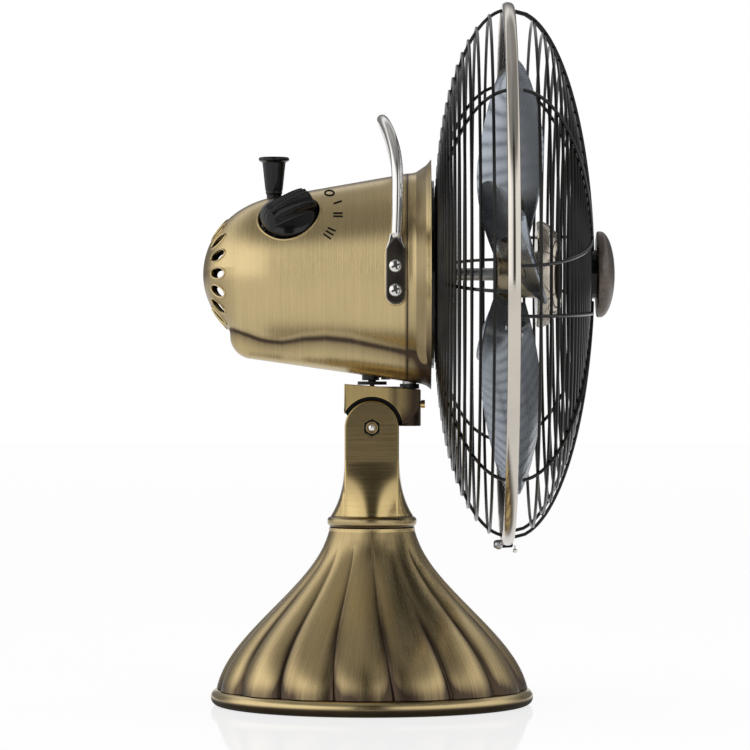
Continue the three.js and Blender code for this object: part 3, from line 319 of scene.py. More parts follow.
def ramp(tree, value, *limits):
    return node(tree, "MapRange", {"interpolation_type": "SMOOTHSTEP"}, value, *limits).outputs[0]


def grey(tree, value):
    return node(tree, "CombineColor", None, value, value, value).outputs[0]


def noise(tree, place, scale, detail, rough):
    return node(tree, "TexNoise", Vector=place, Scale=scale, Detail=detail, Roughness=rough).outputs["Fac"]


# fine brush strokes: noise on coordinates that are squeezed across the strokes
def makeStrokes():
    tree, given, out = newGroup("brushStrokes", {"Vector": "Vector", "Squeeze": "Vector"},
                                {"Strokes": "Float", "Streaks": "Float"})
    squeezed = vectorCalc(tree, "MULTIPLY", given["Vector"], given["Squeeze"])
    fill(tree, out, Strokes=ramp(tree, noise(tree, squeezed, 1.0, 5.0, 0.7), 0.3, 0.7),
         Streaks=ramp(tree, noise(tree, squeezed, 0.18, 3.0, 0.6), 0.3, 0.7))
    return tree


# toning: a light and a dark tone mixed by a mask of painted shade and patina, which soft blotches break up
def makeToning():
    tree, given, out = newGroup("toneAndPaintedShade", {
        "Vector": "Vector", "Light": "Color", "Dark": "Color", "Mask": "Float", "Strokes": "Float",
        "Blotch Depth": "Float"}, {"Color": "Color", "Toned": "Float"})
    blotch = calc(tree, "SUBTRACT", noise(tree, given["Vector"], 18.0, 4.0, 0.55), 0.5)
    deep = calc(tree, "MULTIPLY", blotch, given["Blotch Depth"])
    tone = calc(tree, "ADD", given["Mask"], deep, clamped=True)
    mixed = mix(tree, tone, given["Light"], given["Dark"])
    shade = grey(tree, ramp(tree, given["Strokes"], 0.0, 1.0, 0.94, 1.05))
    fill(tree, out, Color=mix(tree, 1.0, mixed, shade, blend="MULTIPLY"), Toned=tone)
    return tree


strokesGroup = makeStrokes()
toningGroup = makeToning()


def newMaterial(name, metallic, shine):
    material = bpy.data.materials.new(name)
    material.use_nodes = True
    tree = material.node_tree
    shader = fill(tree, tree.nodes["Principled BSDF"], Metallic=metallic, Specular_IOR_Level=shine)
    return material, tree, shader, node(tree, "TexCoord").outputs["Object"]


def bumpOf(tree, height, strength, distance):
    return node(tree, "Bump", Height=height, Strength=strength, Distance=distance).outputs["Normal"]


# the direction from the z axis times a size, with some of the height: strokes run up the shape
def meridian(tree, place, size, rise):
    x, y, z = node(tree, "SeparateXYZ", None, place).outputs
    unit = vectorCalc(tree, "NORMALIZE", node(tree, "CombineXYZ", None, x, y).outputs[0])
    up = node(tree, "CombineXYZ", Z=calc(tree, "MULTIPLY", z, rise)).outputs[0]
    return vectorCalc(tree, "ADD", vectorCalc(tree, "MULTIPLY", unit, (size, size, size)), up)


# brassDark is the colour of the painted shade and the patina that the mask lays on
brassLight, brassDark = (0.60, 0.47, 0.245, 1), (0.075, 0.052, 0.036, 1)


def brassMaterial(name, squeeze, rough, upward=None, light=brassLight, blotch=0.3, bump=0.06, streak=0.08):
    material, tree, shader, place = newMaterial(name, 1.0, 0.5)
    vector = meridian(tree, place, *upward) if upward else place
    brushed = node(tree, "Group", {"node_tree": strokesGroup}, Vector=vector, Squeeze=squeeze).outputs
    # the mask holds painted shade and patina, set on each mesh
    mask = node(tree, "Attribute", {"attribute_name": "paintedShadeAndPatina"}).outputs["Fac"]
    streaky = calc(tree, "MULTIPLY_ADD", brushed["Streaks"], streak, mask)
    toned = node(tree, "Group", {"node_tree": toningGroup}, Vector=place, Light=light, Dark=brassDark,
                 Mask=streaky, Strokes=brushed["Strokes"], Blotch_Depth=blotch).outputs
    roughness = ramp(tree, brushed["Strokes"], 0.0, 1.0, *rough)
    duller = calc(tree, "MULTIPLY_ADD", toned["Toned"], 0.12, roughness, clamped=True)
    fill(tree, shader, Base_Color=toned["Color"], Roughness=duller,
         Normal=bumpOf(tree, brushed["Strokes"], bump, 0.0002))
    return material


# a plain metal or plastic whose tone and roughness wander with noise
def plainMaterial(name, colour, metallic, rough, shine=0.5, size=60.0, depth=0.12, bump=0.05):
    material, tree, shader, place = newMaterial(name, metallic, shine)
    broad = noise(tree, place, size, 5.0, 0.6)
    low, high = (tuple(clamp(array(colour) * scale)) + (1,) for scale in (1 - depth, 1 + depth))
    fill(tree, shader, Base_Color=mix(tree, ramp(tree, broad, 0.3, 0.7), low, high),
         Roughness=ramp(tree, broad, 0.3, 0.7, *rough),
         Normal=bumpOf(tree, noise(tree, place, size * 14, 3.0, 0.6), bump, 0.0001))
    return material


housingBrass = brassMaterial("housingBrass", (2600, 22, 22), (0.21, 0.28), blotch=0.36, bump=0.16, streak=0.07)
bellBrass = brassMaterial("bellBrass", (1, 1, 1), (0.17, 0.28), upward=(260, 40), light=(0.63, 0.48, 0.24, 1),
                          blotch=0.7, streak=0.13, bump=0.1)
trimBrass = brassMaterial("trimBrass", (1, 1, 1), (0.18, 0.24), upward=(8, 500), blotch=0.12, bump=0.02)
neckBrass = brassMaterial("neckBrass", (25, 25, 1800), (0.13, 0.19), light=(0.62, 0.47, 0.22, 1), blotch=0.1,
                          bump=0.005, streak=0.03)
blockBrass = brassMaterial("blockBrass", (1700, 30, 30), (0.26, 0.34), light=(0.62, 0.465, 0.205, 1),
                           blotch=0.15, bump=0.25)
chrome = plainMaterial("polishedChrome", (0.78, 0.76, 0.73), 1.0, (0.06, 0.12), depth=0.04)
bandMetal = plainMaterial("warmSatinChrome", (0.66, 0.61, 0.54), 1.0, (0.1, 0.16), size=25, depth=0.05)
wireMetal = plainMaterial("darkBronzeWire", (0.005, 0.0045, 0.004), 0.1, (0.16, 0.24), 0.3, size=120, depth=0.25)
bladeMetal = plainMaterial("blueGreyBlade", (0.33, 0.36, 0.4), 0.85, (0.14, 0.22), size=14)
armMetal = plainMaterial("armBrass", (0.36, 0.3, 0.2), 1.0, (0.22, 0.34), size=30)
spinnerMetal = plainMaterial("spinnerNickel", (0.62, 0.56, 0.47), 1.0, (0.1, 0.16), size=40)
capMetal = plainMaterial("capBronze", (0.12, 0.1, 0.085), 0.85, (0.3, 0.4), size=400, depth=0.2, bump=0.1)
plateMetal = plainMaterial("darkPlateMetal", (0.11, 0.095, 0.08), 1.0, (0.18, 0.26), size=50)
steel = plainMaterial("brightSteel", (0.5, 0.5, 0.5), 1.0, (0.22, 0.34), size=90)
blackGloss = plainMaterial("blackPlastic", (0.004, 0.004, 0.0045), 0.0, (0.15, 0.22), 0.36, size=30)
markBlack = plainMaterial("markBlack", (0.002, 0.002, 0.002), 0.0, (0.5, 0.6), 0.1)
knobBlack = plainMaterial("knobBlack", (0.003, 0.003, 0.0035), 0.0, (0.1, 0.16), 0.4, size=25)
rubber = plainMaterial("blackRubber", (0.012, 0.012, 0.012), 0.0, (0.6, 0.8), size=200, bump=0.2)
castIron = plainMaterial("castIron", (0.05, 0.048, 0.045), 0.8, (0.5, 0.7), size=200, bump=0.4)
dieCast = plainMaterial("dieCastMetal", (0.2, 0.2, 0.2), 0.9, (0.4, 0.55), size=200, bump=0.3)
copper = plainMaterial("copperWinding", (0.45, 0.18, 0.08), 0.9, (0.35, 0.5), size=300, bump=0.3)
print("materials made")


# Base: foot ring, fluted bell and bead collar

baseSizes = {
    "ringEdge": 4.6, "ringSink": 2.2, "ringInner": 80, "ringLift": 0.3, "fluteCount": 16, "fluteDepth": 4.6,
    "swirl": -8, "turn": -92.5, "straightShare": 0.3, "bellTop": 27.0, "bellFoot": 99.5, "bellWall": 1.6,
}


# a half ellipse on a flat underside
def makeFootRing():
    low, high = boxOf("foot_ring")
    outer, inner, lift = high[0], baseSizes["ringInner"], baseSizes["ringLift"]
    edge, top = baseSizes["ringEdge"], high[2] - baseSizes["ringSink"]
    turn = linspace(-pi / 2, pi / 2, 22)
    middle, half = (lift + top) / 2, (top - lift) / 2
    bead = pack(outer - edge + edge * cos(turn), middle + half * sin(turn))
    under = [[inner, low[2]], [outer - edge - 2.2, low[2]], [outer - edge - 1.8, lift]]
    piece = turned("footRingBead", join(under, bead, [[inner, top], [inner, low[2]]]), "z", (0, 0, 0), 192)
    # painted shade on the lower half of the bead and on its top inside the bell's foot
    paint(piece, lambda x, y, z: 0.8 * clamp((middle + 1.2 - z) / 1.8)
          + 0.7 * clamp((outer - 4.2 - hypot(x, y)) / 1.5) * (z > middle))
    settle(piece, trimBrass, "base", "brass", "foot_ring")


# radius falls from the foot to the neck by a straight part plus a sine squared swell;
# each flute is a convex lobe, deepest at its valleys, that fades out towards the top
def makeBell():
    size = baseSizes
    low, high = boxOf("bell_base")
    bottom, top = low[2] - size["ringSink"], high[2]
    height = join(linspace(bottom, bottom + 6, 8)[:-1], linspace(bottom + 6, top, 110))[:, None]
    angle = around(size["fluteCount"] * 36)
    down = clamp((top - height) / (top - bottom))
    share = size["straightShare"] * down + (1 - size["straightShare"]) * sin(down * pi / 2) ** 2
    radius = size["bellTop"] + (size["bellFoot"] - size["bellTop"]) * share
    across, along = cos(size["fluteCount"] * angle / 2), sin(size["fluteCount"] * angle / 2)
    wave = abs(across)
    lobe = sqrt(clamp(1 - (1 - wave) ** 2)) * 0.45 + wave * 0.55
    reach = clamp((down - 0.1) / 0.9) ** 0.8
    body = radius - size["fluteDepth"] * reach * (1 - lobe)
    turn = angle + radians(size["turn"] + size["swirl"] * (1 - down))
    grid = pack(body * cos(turn), body * sin(turn), height)
    # painted shade on one side of each lobe, stronger towards the foot; patina in the valleys; darker at the foot and
    # near the top
    shade = clamp(-along * across) * 0.5 * clamp((down - 0.35) / 0.5)
    paintedShadeAndPatina = clamp(hump(wave, 0, 0.34) * clamp(reach * 1.6) * 0.9 + hump(height, bottom, 8) * 0.75 + shade
                   + hump(height, top, 12) * 0.3)
    inside = grid[::12][::-1].copy()
    wide = lengthOf(inside[:, :, :2])
    inside[:, :, :2] *= maximum(wide - size["bellWall"], 1) / wide
    roof = inside[:1].copy()
    roof[:, :, 2] = top
    inside[:, :, 2] = minimum(inside[:, :, 2], top - size["bellWall"])
    lining = join(roof, inside)
    piece = meshFrom("flutedBell", join(grid, lining, grid[:1]), sharp=60,
                     paintedShadeAndPatina=join(paintedShadeAndPatina, 0 * lining[:, :, 0], paintedShadeAndPatina[:1]))
    settle(piece, bellBrass, "base", "aged_brass", "bell_base")


def makeCollar():
    low, high = boxOf("neck_collar")
    outer, bottom, top = high[0], low[2], high[2]
    profile = softCorners([[4.5, bottom], [outer - 1.6, bottom], [outer - 1.2, bottom + 1.4], [outer, bottom + 2.2],
                           [outer, top - 1.4], [outer - 1.8, top], [4.5, top]], 0.9)
    piece = turned("neckBead", join(profile, profile[:1]), "z", (0, 0, 0), 128)
    # painted shade along the lower and upper edges of the bead, over a slightly darker overall tone
    paint(piece, lambda x, y, z: 0.3 + 0.6 * clamp((bottom + 1.9 - z) / 0.8) + 0.35 * clamp((z - top + 1.5) / 1.2))
    settle(piece, trimBrass, "base", "brass", "neck_collar")


makeFootRing()
makeBell()
makeCollar()
print("base made")


# Neck: each half of the fork is a stack of sections, with cheeks beside the slot

neckSizes = {"faceHalf": 17.3, "depth": 15, "footRadius": 26.3, "bevel": 1.0, "flarePower": 4, "slotHalf": 7.6,
             "slotFloor": 156, "faceBow": 5.8, "recessFloor": -11.2, "recessRadius": 5.5}


# half of a section: the side bows by a circle's arc, the corner is bevelled and the face bulges by a
# parabola that grows towards the foot
def neckSection(rise, pivot, foot):
    size = neckSizes
    flare = clamp((pivot - rise) / (pivot - foot)) ** size["flarePower"]
    below = clamp((size["slotFloor"] - rise) / (size["slotFloor"] - foot))
    bulge = size["faceBow"] * (sqrt(below ** 2 + 0.03) - 0.173)
    face, bevel, deep = size["faceHalf"], size["bevel"], size["depth"]
    t, corner, across = linspace(0, 1, 15), radians(linspace(12, 90, 6)), linspace(1, -1, 26)[1:-1]
    side = pack(face + (size["footRadius"] - face) * flare * sqrt(1 - t ** 2), (deep - bevel) * t - 0.4 * (1 - t))
    edge = pack(face - bevel + bevel * cos(corner) + 0 * rise, deep - bevel + bevel * sin(corner))
    flat = pack((face - bevel) * across, deep + bulge * (1 - across ** 2))
    section = np.concatenate([side, edge, flat, edge[:, ::-1] * [-1, 1], side[:, ::-1] * [-1, 1]], 1)
    return pack(section[..., 0], section[..., 1], rise)


def makeNeck():
    size = neckSizes
    pivot, foot = middleOf("tilt_bolt")[2], boxOf("neck_fork")[0][2]
    floor, face = size["slotFloor"], size["faceHalf"]
    rows = neckSection(linspace(foot, floor, 60)[:, None], pivot, foot)
    half = join(rows[:1] * [0, 1, 1], rows, rows[-1:] * [0, 1, 1])
    stem = meshFrom("neckStem", half, half * [1, -1, 1], sharp=38)
    settle(stem, neckBrass, "base", "brass", "neck_fork")
    # painted shade: the front and back faces darker towards the top, and the sides darker
    paint(stem, lambda x, y, z: (abs(x) < face - 0.9) * 0.5 * clamp((z - 130) / 26)
          + clamp((abs(x) - face + 0.5) / 3) * 0.35)
    turn = around(120)
    toSide = face / maximum(abs(cos(turn)), 1e-6)
    toFloor = (pivot - floor + 4.5) / maximum(abs(sin(turn)), 1e-6)
    unit = circle(1, 120)
    outline = unit * np.where(sin(turn) >= 0, face, minimum(toSide, toFloor))[:, None] + [0, pivot]
    hexRadius = size["recessRadius"] / cos(turn % (tau / 6) - tau / 12)
    hexagon = np.roll(unit * hexRadius[:, None] @ quarterTurn + [0, pivot], 30, 0)
    for sign in (-1, 1):
        ends = sorted([sign * size["slotHalf"], sign * (size["depth"] - 0.04)])
        cheek = slab(f"neckCheek{sign + 1}", outline, "y", *ends, round=size["bevel"], sharp=50,
                     recess=(hexagon, size["recessFloor"]) if sign < 0 else None)
        settle(cheek, neckBrass, "base", "brass")
        # painted shade on the cheek's outer face
        paint(cheek, lambda x, y, z: (abs(y) > 14.8) * 0.5)


# the bolt: a ball end in a brass ring inside the recess, a shank, and a domed head on the other side
def makeBoltEnd():
    centre = (0, 0, middleOf("tilt_bolt")[2])
    t = quarter(10)
    ball = pack(3.0 * sin(t), -12.0 - 2.5 * cos(t))
    head = pack(4.6 * cos(t), 15.0 + 1.9 * sin(t))
    profile = join(ball, [[2.6, -11.5], [2.6, 11.4], [4.6, 11.4]], head)
    profile[[0, -1], 0] = 0
    settle(turned("tiltBoltBody", profile, "y", centre, 40), chrome, "base", "chrome", "tilt_bolt")
    ring = softCorners([[3.0, -11.6], [4.0, -11.6], [4.0, -13.0], [3.6, -13.6], [3.1, -13.0]], 0.35)
    settle(turned("tiltBoltRing", join(ring, ring[:1]), "y", centre, 40), trimBrass, "base", "brass")
    # the nut face is black, a dark sheet that stands in for the shade in the recess
    nut = slab("tiltNutShadowFace", circle(5.7, 6) @ quarterTurn, "y", -12.1, -11.3, centre, round=0.2)
    settle(nut, blackGloss, "base", "steel", "tilt_nut")


makeNeck()
makeBoltEnd()
print("neck made")


# Tilt block: two flanks cut by an arc round the fork's cheeks, with a curved nose at the front

blockSizes = {"rear": -17.5, "nose": 30.5, "noseDrop": 10.5, "pointDrop": 22.2, "cutRadius": 19.7, "top": 201.5,
              "round": 0.7, "halfDepth": 15, "slotHalf": 6.2, "rimWall": 1.4, "rimRise": 3.4}


def makeTiltBlock():
    size = blockSizes
    pivot, top, cut, deep = middleOf("tilt_bolt")[2], size["top"], size["cutRadius"], size["halfDepth"]
    arc = linspace(pi - np.arccos(-size["rear"] / cut), np.arcsin((top - size["pointDrop"] - pivot) / cut), 44)
    cutArc = pack(cut * cos(arc), pivot + cut * sin(arc))
    t = linspace(0, 1, 12)[:, None]
    point, nose = cutArc[-1], array([size["nose"], top - size["noseDrop"]])
    bend = array([(point[0] + nose[0]) / 2 + 2.2, (point[1] * 3 + nose[1]) / 4])
    noseCurve = (1 - t) ** 2 * point + 2 * t * (1 - t) * bend + t ** 2 * nose
    lower = join(cutArc, noseCurve[1:])
    upper = lower[::-1] * [1, 0] + [0, top]
    flanks = [slab(f"blockFlank{i}", join(lower, upper), "y", *ends, round=size["round"], paired=True)
              for i, ends in enumerate([(0.6 - deep, -size["slotHalf"]), (size["slotHalf"], deep)])]
    slant = (size["nose"] - upper[:, :1]) / (size["nose"] - size["rear"])
    face = slab("blockFace", join(lower, upper + slant * [0, size["rimRise"]]), "y", -deep, size["rimWall"] - deep,
                round=0.5, paired=True)
    bridge = slab("blockBridge", [[-17.2, top - 4.5], [30.2, top - 4.5], [30.2, top - 0.2], [-17.2, top - 0.2]],
                  "y", -6.4, 6.4, round=0)
    tongue = slab("blockTongue", circle(14.9, 64), "y", -6, 6, (0, 0, pivot), round=0.4)
    web = slab("blockWeb", [[-17, pivot + 9.6], [-12, pivot + 2], [13, pivot + 2], [19, pivot + 5], [19, top - 2],
                            [-17, top - 2]], "y", -5.9, 5.9, round=0)
    socket = turned("swivelSocket", softCorners([[0, 178], [7.2, 178], [7.2, 201.3], [0, 201.3]], 0.6,
                                                closed=False), "z", (24, 0, 0), 64)
    for piece in flanks + [face, bridge, tongue, web, socket]:
        settle(piece, blackGloss if piece in (tongue, web) else blockBrass, "tilt_yoke", "brass")
        # painted shade in the fold of the front face, over the nose and under it, on a slightly darker overall tone
        paint(piece, lambda x, y, z: 0.1 + 0.6 * hump(x, 14.5, 3.4) * (y < -13.9)
              + 0.85 * clamp((x - 16) / 9) + 0.4 * clamp((188 - z) / 6) * (x > 18))
    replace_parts(flanks[0], "tilt_block")


# black bosses under the housing, round the crank's shaft and the swivel
def makeBosses():
    for name, x, y, radius, low in (("crankBoss", -1, 12.2, 5.6, 207.2), ("swivelBoss", 9, 6, 3.2, 207.6)):
        profile = softCorners([[0, low], [radius, low], [radius, 222], [0, 222]], 0.5, closed=False)
        settle(turned(name, profile, "z", (x, y, 0), 32), blackGloss, "head", "black_plastic")


makeTiltBlock()
makeBosses()
print("tilt block made")


# Housing: a dome and a cone round the fan's axis, joined by a soft maximum to a belly
# whose section is a squarish rounded box

axis = middleOf("rotor_shaft")[2]
hub = array([0, 0, axis])
housingSizes = {
    "domeCentre": -51, "domeLength": 57, "domeRadius": 50.6, "domeEnd": -62, "coneReach": -60,
    "coneRadius": 50, "seamReach": 22.8, "seamRadius": 64.5, "frontReach": 37.8, "lipRadius": 73.8,
    "wall": 1.6, "bellyRear": -90.6, "bellyHeel": -78.5, "heelDrop": 53.9, "frontDrop": 70.8, "heelRound": 12.5,
    "fillet": 5.0, "squareness": 4.6, "seamGap": 0.04, "columns": 480, "ventReach": -97.3, "ventCount": 16,
    "ventHalf": (3.4, 7.0), "ventWire": 0.62, "ventGrow": 1.07,
}
bellyPlan = array([[-90.6, 14], [-88, 17.5], [-84.5, 20.5], [-78, 24], [-68, 26.2], [-57, 28.6], [-43, 35.2],
                   [-29, 39.3], [-14, 41.6], [18, 43.4], [37.8, 43.5]])
housingAngle = linspace(-pi, pi, housingSizes["columns"], endpoint=False)


# points by their place along the fan's axis, their distance from it and their angle from the top
def aboutAxis(x, radius, angle):
    return pack(x, radius * sin(angle), axis + radius * cos(angle))


# an ellipse behind, then a cone, then a flare by a power of the way to the lip
def coneRadius(reach, inset=0.0):
    size = housingSizes
    back = clamp((size["domeCentre"] - reach) / (size["domeLength"] - inset))
    dome = (size["domeRadius"] - inset) * sqrt(1 - back ** 2)
    slope = (size["seamRadius"] - size["coneRadius"]) / (size["seamReach"] - size["coneReach"])
    cone = size["coneRadius"] - inset + slope * (reach - size["coneReach"])
    out = clamp((reach - size["seamReach"]) / (size["frontReach"] - size["seamReach"]))
    flare = size["seamRadius"] - inset + (size["lipRadius"] - size["seamRadius"]) * out ** 2.4
    return np.where(reach < size["domeEnd"], dome, np.where(reach < size["seamReach"], cone, flare))


# a superellipse, as wide as the plan says and as deep as a line from heel to front, rounded at the rear
def bellyRadius(reach, angle, inset=0.0):
    size = housingSizes
    rear, heel, power = size["bellyRear"], size["bellyHeel"], size["squareness"]
    slope = (size["frontDrop"] - size["heelDrop"]) / (size["frontReach"] - heel)
    behind = clamp((heel - reach) / (heel - rear))
    drop = size["heelDrop"] + slope * (reach - heel) - size["heelRound"] * (1 - sqrt(1 - behind ** 2)) - inset
    half = np.interp(reach, *bellyPlan.T) - inset
    across, down = abs(sin(angle)) / half, maximum(cos(angle), 0) / drop
    radius = (across ** power + down ** power) ** (-1 / power)
    return np.where(cos(angle) > 0, radius, 0) * clamp((reach - rear + 0.4) / 0.8)


# the larger of the two radii, with a fillet where they meet
def skinPoints(reach, angle, inset=0.0, lift=0.0):
    cone, belly, width = coneRadius(reach, inset), bellyRadius(reach, angle, inset), housingSizes["fillet"]
    blend = clamp(0.5 + 0.5 * (belly - cone) / width)
    radius = cone * (1 - blend) + belly * blend + width * blend * (1 - blend) + lift
    return pack(reach, radius * sin(angle), axis - radius * cos(angle))


# painted shade along the crease over the belly, at the rear, under the front and as a dark line on the top, and a
# dark joint line at the seam
def skinPaintedShadeAndSeam(reach, angle):
    over = bellyRadius(reach, angle) - coneRadius(reach)
    seamReach = housingSizes["seamReach"]
    crease = hump(over, -0.2, 1.5) * 0.62 + hump(over, 1.2, 4.2) * 0.5
    rear = clamp((-84 - reach) / 10) * 0.35
    seam = hump(reach, seamReach, 1.2) * 0.3 + (abs(reach - seamReach) < 0.3) * 0.6
    under = hump(reach, housingSizes["frontReach"], 12) * clamp(cos(angle) - 0.15) * 1.6
    top = clamp((-cos(angle) - 0.95) / 0.04) * 0.7
    return clamp((crease + rear) * (cos(angle) > -0.1) + seam + under + top)


# plugs for the vents round the dome, and for each the thin wire sunk into the dome along its edge
def ventGrids():
    size = housingSizes
    back = (size["domeCentre"] - size["ventReach"]) / size["domeLength"]
    high = sqrt(1 - back ** 2)
    slope = np.arctan2(back * size["domeRadius"], high * size["domeLength"])
    out = array([-sin(slope), 0, cos(slope)])
    across, along = (circle(1, 28) * size["ventHalf"]).T[:, :, None]
    middle = [size["ventReach"], 0, size["domeRadius"] * high]
    flat = middle + along * [cos(slope), 0, sin(slope)] + across * [0, 1, 0]
    plug = capped(array([flat - 5 * out, flat + 5 * out]))
    radius, angle = coneRadius(flat[:, 0]), np.arctan2(flat[:, 1], flat[:, 2])
    path = pack(flat[:, 0], radius * sin(angle), radius * cos(angle))
    path = path.mean(0) + (path - path.mean(0)) * size["ventGrow"]
    rim = wireGrid(path, size["ventWire"], (-0.8, 0, 1), closed=True)
    return [[turnX(grid, turn) + hub for turn in around(size["ventCount"])] for grid in (plug, rim)]


knobSizes = {"radius": 18.4, "base": 46.2, "height": 9.0, "lean": radians(46.5), "reach": -52, "pocket": 19.5,
             "pocketFloor": 36, "bar": 7.2, "barRise": 8.2, "barTurn": radians(36), "pullHole": 6.4}
knobOut = array([0, -cos(knobSizes["lean"]), sin(knobSizes["lean"])])


# points in the speed knob's frame: its axis leans back from the side of the housing
def knobPoints(across, up, out):
    return pack(across, up, out) @ [[1, 0, 0], np.cross(knobOut, [1, 0, 0]), knobOut] + [knobSizes["reach"], 0, axis]


# skin, a lip turned in at the seam and a lining, less the vents, the knob's pocket and the pull's hole
def makeHousing():
    size = housingSizes
    centre, inset = size["domeCentre"], size["wall"]
    turn = quarter(46)
    reach = np.unique(np.round(join(
        centre - size["domeLength"] * cos(turn), linspace(-91.2, -89.8, 9), linspace(-89.6, -77, 24),
        linspace(centre, size["seamReach"] - size["seamGap"], 34)), 3))[:, None]
    lip = skinPoints(reach[-1:] + 0.25, housingAngle, 0.0, array([[-0.3], [-1.3]]))
    innerReach = np.unique(join(centre - (size["domeLength"] - inset) * cos(turn[::3]),
                                linspace(centre, reach[-1, 0], 12)))[::-1, None]
    lining = join(lip, skinPoints(innerReach, housingAngle, inset))
    # the lining is painted darker, as painted shade inside the shell
    piece = meshFrom("housingShell", join(skinPoints(reach, housingAngle), lining), sharp=50,
                     paintedShadeAndPatina=join(skinPaintedShadeAndSeam(reach, housingAngle), np.full(lining.shape[:2], 0.6)))
    plugs, rims = ventGrids()
    pocket = capped(knobPoints(*circle(knobSizes["pocket"], 72).T, array([[knobSizes["pocketFloor"]], [70]])))
    wide, low, high = knobSizes["pullHole"], axis + 30, axis + 60
    hole = turnedGrid([[0, low], [wide, low], [wide, high], [0, high]], "z",
                      middleOf("oscillation_knob") * [1, 1, 0], 40)
    cutAway(piece, *[meshFrom("cutter", grid) for grid in plugs + [pocket, hole]], sharp=50)
    settle(piece, housingBrass, "head", "brass", "motor_housing")
    settle(meshFrom("ventRims", *rims), trimBrass, "head", "brass")


def makeBezel():
    start, front = housingSizes["seamReach"] + housingSizes["seamGap"], housingSizes["frontReach"]
    reach = join(linspace(start, front - 0.6, 26), [front - 0.25, front])[:, None]
    lift = join([-0.3], np.zeros(25), [-0.15, -0.6])[:, None]
    outer = skinPoints(reach, housingAngle, 0.0, lift)
    inner = skinPoints(array([[front], [front - 0.4], [start + 2], [start]]), housingAngle, housingSizes["wall"])
    paintedShadeAndPatina = skinPaintedShadeAndSeam(reach, housingAngle)
    # the inside of the bezel is painted darker, as painted shade, and the outside takes the skin's painted shade
    piece = meshFrom("frontBezel", join(outer, inner, outer[:1]), sharp=50,
                     paintedShadeAndPatina=join(paintedShadeAndPatina, np.full(inner.shape[:2], 0.5), paintedShadeAndPatina[:1]))
    settle(piece, housingBrass, "head", "brass", "front_bezel")


makeHousing()
makeBezel()
print("housing made")


# Speed knob: a height map on a disc. The crown falls by powers of the radius; the bar has logistic
# sides, ends that fall by a power, and ribs by a cosine.

def makeSpeedKnob():
    size, radius = knobSizes, knobSizes["radius"]
    share = join(linspace(0, 0.9, 60), linspace(0.9, 1, 16)[1:])[:, None]
    angle = around(200)
    along = radius * share * cos(angle - size["barTurn"])
    aside = radius * share * sin(angle - size["barTurn"])
    crown = size["height"] * (1 - 0.3 * share ** 2 - 0.2 * share ** 10)
    wide = size["bar"] + 1.5 * along / radius
    bar = clamp((1.0 - abs(along) / (radius * 1.02)) / 0.22) ** 0.6 / (1 + exp((abs(aside) - wide) / 0.35))
    ribs = 1.5 * abs(cos(aside / wide * pi * 2.2 + 0.4)) * (aside > -wide * 0.35)
    height = crown + bar * (size["barRise"] + ribs - 2.4 * (aside / wide) ** 2)
    skirt, level = array([[radius, crown[-1, 0] - 0.5], [radius + 0.2, 1], [radius - 0.4, 0], [0, 0]]).T[:, :, None]
    out, rise = join(radius * share, skirt), join(height, level + 0 * angle)
    grid = knobPoints(out * cos(angle), out * sin(angle), size["base"] + rise)
    settle(meshFrom("speedKnobBody", grid, sharp=55), knobBlack, "speed_dial", "black_plastic", "speed_knob")


# the pocket's rim: a thin bright bead that follows the housing round the knob
def makePocketRim():
    ring = circle(knobSizes["pocket"] + 0.5, 96)
    probe = knobPoints(*ring.T, linspace(30, 62, 321)[:, None])
    gap = hypot(probe[..., 1], probe[..., 2] - axis) - coneRadius(probe[..., 0])
    path = probe[np.argmax(gap > 0, axis=0), np.arange(len(ring))] - 0.25 * knobOut
    for turn in range(3):
        path = (np.roll(path, 1, 0) + path + np.roll(path, -1, 0)) / 3
    settle(meshFrom("pocketRim", wireGrid(path, 0.85, knobOut, 10, closed=True)), trimBrass, "head", "brass")


def makePullKnob():
    x, top, base = middleOf("oscillation_knob")[0], boxOf("oscillation_knob")[1][2], axis + 50
    profile = softCorners([
        [0, base - 5], [4.5, base - 5], [4.7, base + 0.8], [5.4, base + 1.8], [5.2, base + 3], [5.6, base + 4],
        [7.3, top - 4.6], [7.6, top - 3.4], [9.7, top - 2.4], [9.9, top - 1.2], [9.2, top], [3.5, top - 0.7],
        [0, top - 0.7]], 0.8, closed=False)
    settle(turned("pullKnobBody", profile, "z", (x, 0, 0), 72), blackGloss, "pull_knob", "black_plastic",
           "oscillation_knob")


makeSpeedKnob()
makePocketRim()
makePullKnob()
print("knobs made")


# Dial marks: short strokes laid on the housing beside the knob. Each is placed by its pixel in the
# photograph, and lies where the camera's line meets the housing.

photo = {"centreX": 406.25, "centreY": 375, "scale": 0.64, "distance": 2369, "cameraX": 21.92, "cameraZ": 210.6,
         "width": 750, "lens": 177.7}
dialMarks = {
    "ring": ((329.5, 193), (4.6, 2.5)),
    "strokes": [((333.6, 203.6), (341.8, 200.9)), ((333.3, 213.2), (342.5, 213.2)), ((333.3, 216.2), (342.5, 216.4)),
                ((328.0, 227.8), (335.4, 231.0)), ((325.9, 230.7), (333.2, 235.0)), ((323.8, 234.0), (330.6, 238.8))],
    "width": 0.6,
}


# where the camera's line through a pixel meets the cone, by repeated steps of the depth
def onHousing(pixels):
    offset = (pixels - array([photo["centreX"], photo["centreY"]])) * [1, -1] * photo["scale"] / photo["distance"]
    depth = np.full(len(offset), -50.0)
    for step in range(12):
        x, z = (offset * (photo["distance"] + depth)[:, None] + [photo["cameraX"], photo["cameraZ"]]).T
        depth = -sqrt(maximum((coneRadius(x) + 0.05) ** 2 - (z - axis) ** 2, 0))
    return pack(x, depth, z)


